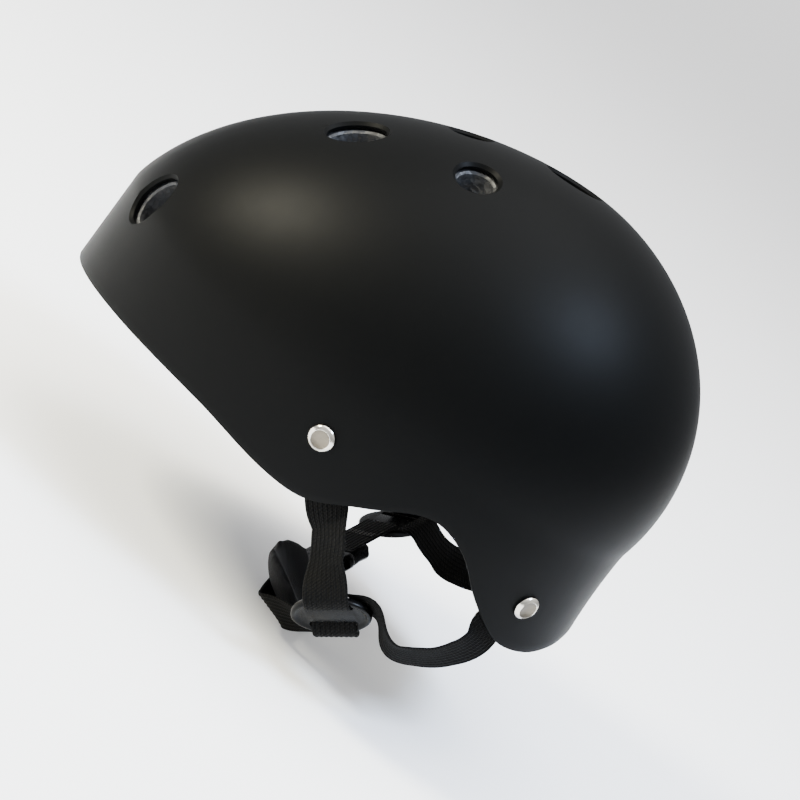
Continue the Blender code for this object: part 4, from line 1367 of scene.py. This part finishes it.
def build_camera():
    tilt = math.radians(CAMERA_TILT)
    top = Vector((0, -math.sin(tilt), math.cos(tilt)))
    place = direction(CAMERA_AZIMUTH, CAMERA_ELEVATION) * CAMERA_DISTANCE
    back = place.normalized()
    right = top.cross(back).normalized()
    up = back.cross(right)
    camera = bpy.data.objects.new("camera", bpy.data.cameras.new("camera"))
    bpy.context.scene.collection.objects.link(camera)
    camera.data.lens = CAMERA_LENS
    camera.data.clip_start = CLIP_NEAR
    look_at(camera, place, right * AIM_RIGHT + up * AIM_UP, top)
    bpy.context.scene.camera = camera


def area_light(name, azimuth, elevation, distance, size, power, colour):
    lamp = bpy.data.lights.new(name, "AREA")
    lamp.shape = "RECTANGLE"
    lamp.size = size
    lamp.size_y = size
    lamp.energy = power
    lamp.color = colour
    thing = bpy.data.objects.new(name, lamp)
    bpy.context.scene.collection.objects.link(thing)
    place = LIGHT_TARGET + direction(azimuth, elevation) * distance
    look_at(thing, place, LIGHT_TARGET, Vector((0, 0, 1)))


def build_stage():
    low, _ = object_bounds()
    bm = bmesh.new()
    bmesh.ops.create_grid(bm, x_segments=8, y_segments=8, size=FLOOR_HALF)
    floor = add_mesh("floor", bm, floor_material())
    floor.location.z = low[2] - FLOOR_GAP
    world = bpy.data.worlds.new("studio")
    world.use_nodes = True
    tree = world.node_tree
    split = tree.nodes.new("ShaderNodeSeparateXYZ")
    ramp = tree.nodes.new("ShaderNodeValToRGB")
    tree.links.new(tree.nodes.new("ShaderNodeTexCoord").outputs["Generated"], split.inputs["Vector"])
    tree.links.new(split.outputs["Z"], ramp.inputs["Fac"])
    tree.links.new(ramp.outputs["Color"], tree.nodes["Background"].inputs["Color"])
    low_sky, high_sky = ramp.color_ramp.elements
    low_sky.position, low_sky.color = LOW_SKY
    high_sky.position, high_sky.color = HIGH_SKY
    tree.nodes["Background"].inputs["Strength"].default_value = SKY_STRENGTH
    bpy.context.scene.world = world
    for name, settings in LIGHTS.items():
        area_light(name, *settings)


# -------- assembly


def main():
    build_camera()
    web_look = webbing_material()
    pad_look = knit_material("pad_knit_look", (0.003, 0.003, 0.0032), (0.014, 0.014, 0.015), 0.10)
    cup_look = knit_material("chin_cup_look", (0.0025, 0.0025, 0.003), (0.010, 0.010, 0.012), 0.08)
    plastic_look = plastic_material("black_plastic_look", (0.0014, 0.0014, 0.0015), 0.27)
    arm_look = plastic_material("buckle_arm_look", (0.002, 0.002, 0.0022), 0.33)
    build_shell(shell_material())
    build_liner(foam_material())
    for name, (azimuths, heights) in PADS.items():
        liner_pad(name, azimuths, heights, pad_look)
    crown_pad(pad_look)
    chin_cup(cup_look)
    build_webbing(web_look, thread_material())
    polished = nickel_material("nickel_polished_look", *POLISHED)
    # Satin nickel for the rivets' flat tops, its dark colour a painted dark reflection
    satin_painted_reflection = nickel_material("nickel_satin_painted_reflection_look", *SATIN_WITH_PAINTED_REFLECTION)
    build_rivets(polished, satin_painted_reflection)
    for side in ("left", "right"):
        build_divider(side, plastic_look)
    build_buckle(plastic_look, arm_look)
    build_stage()


main()
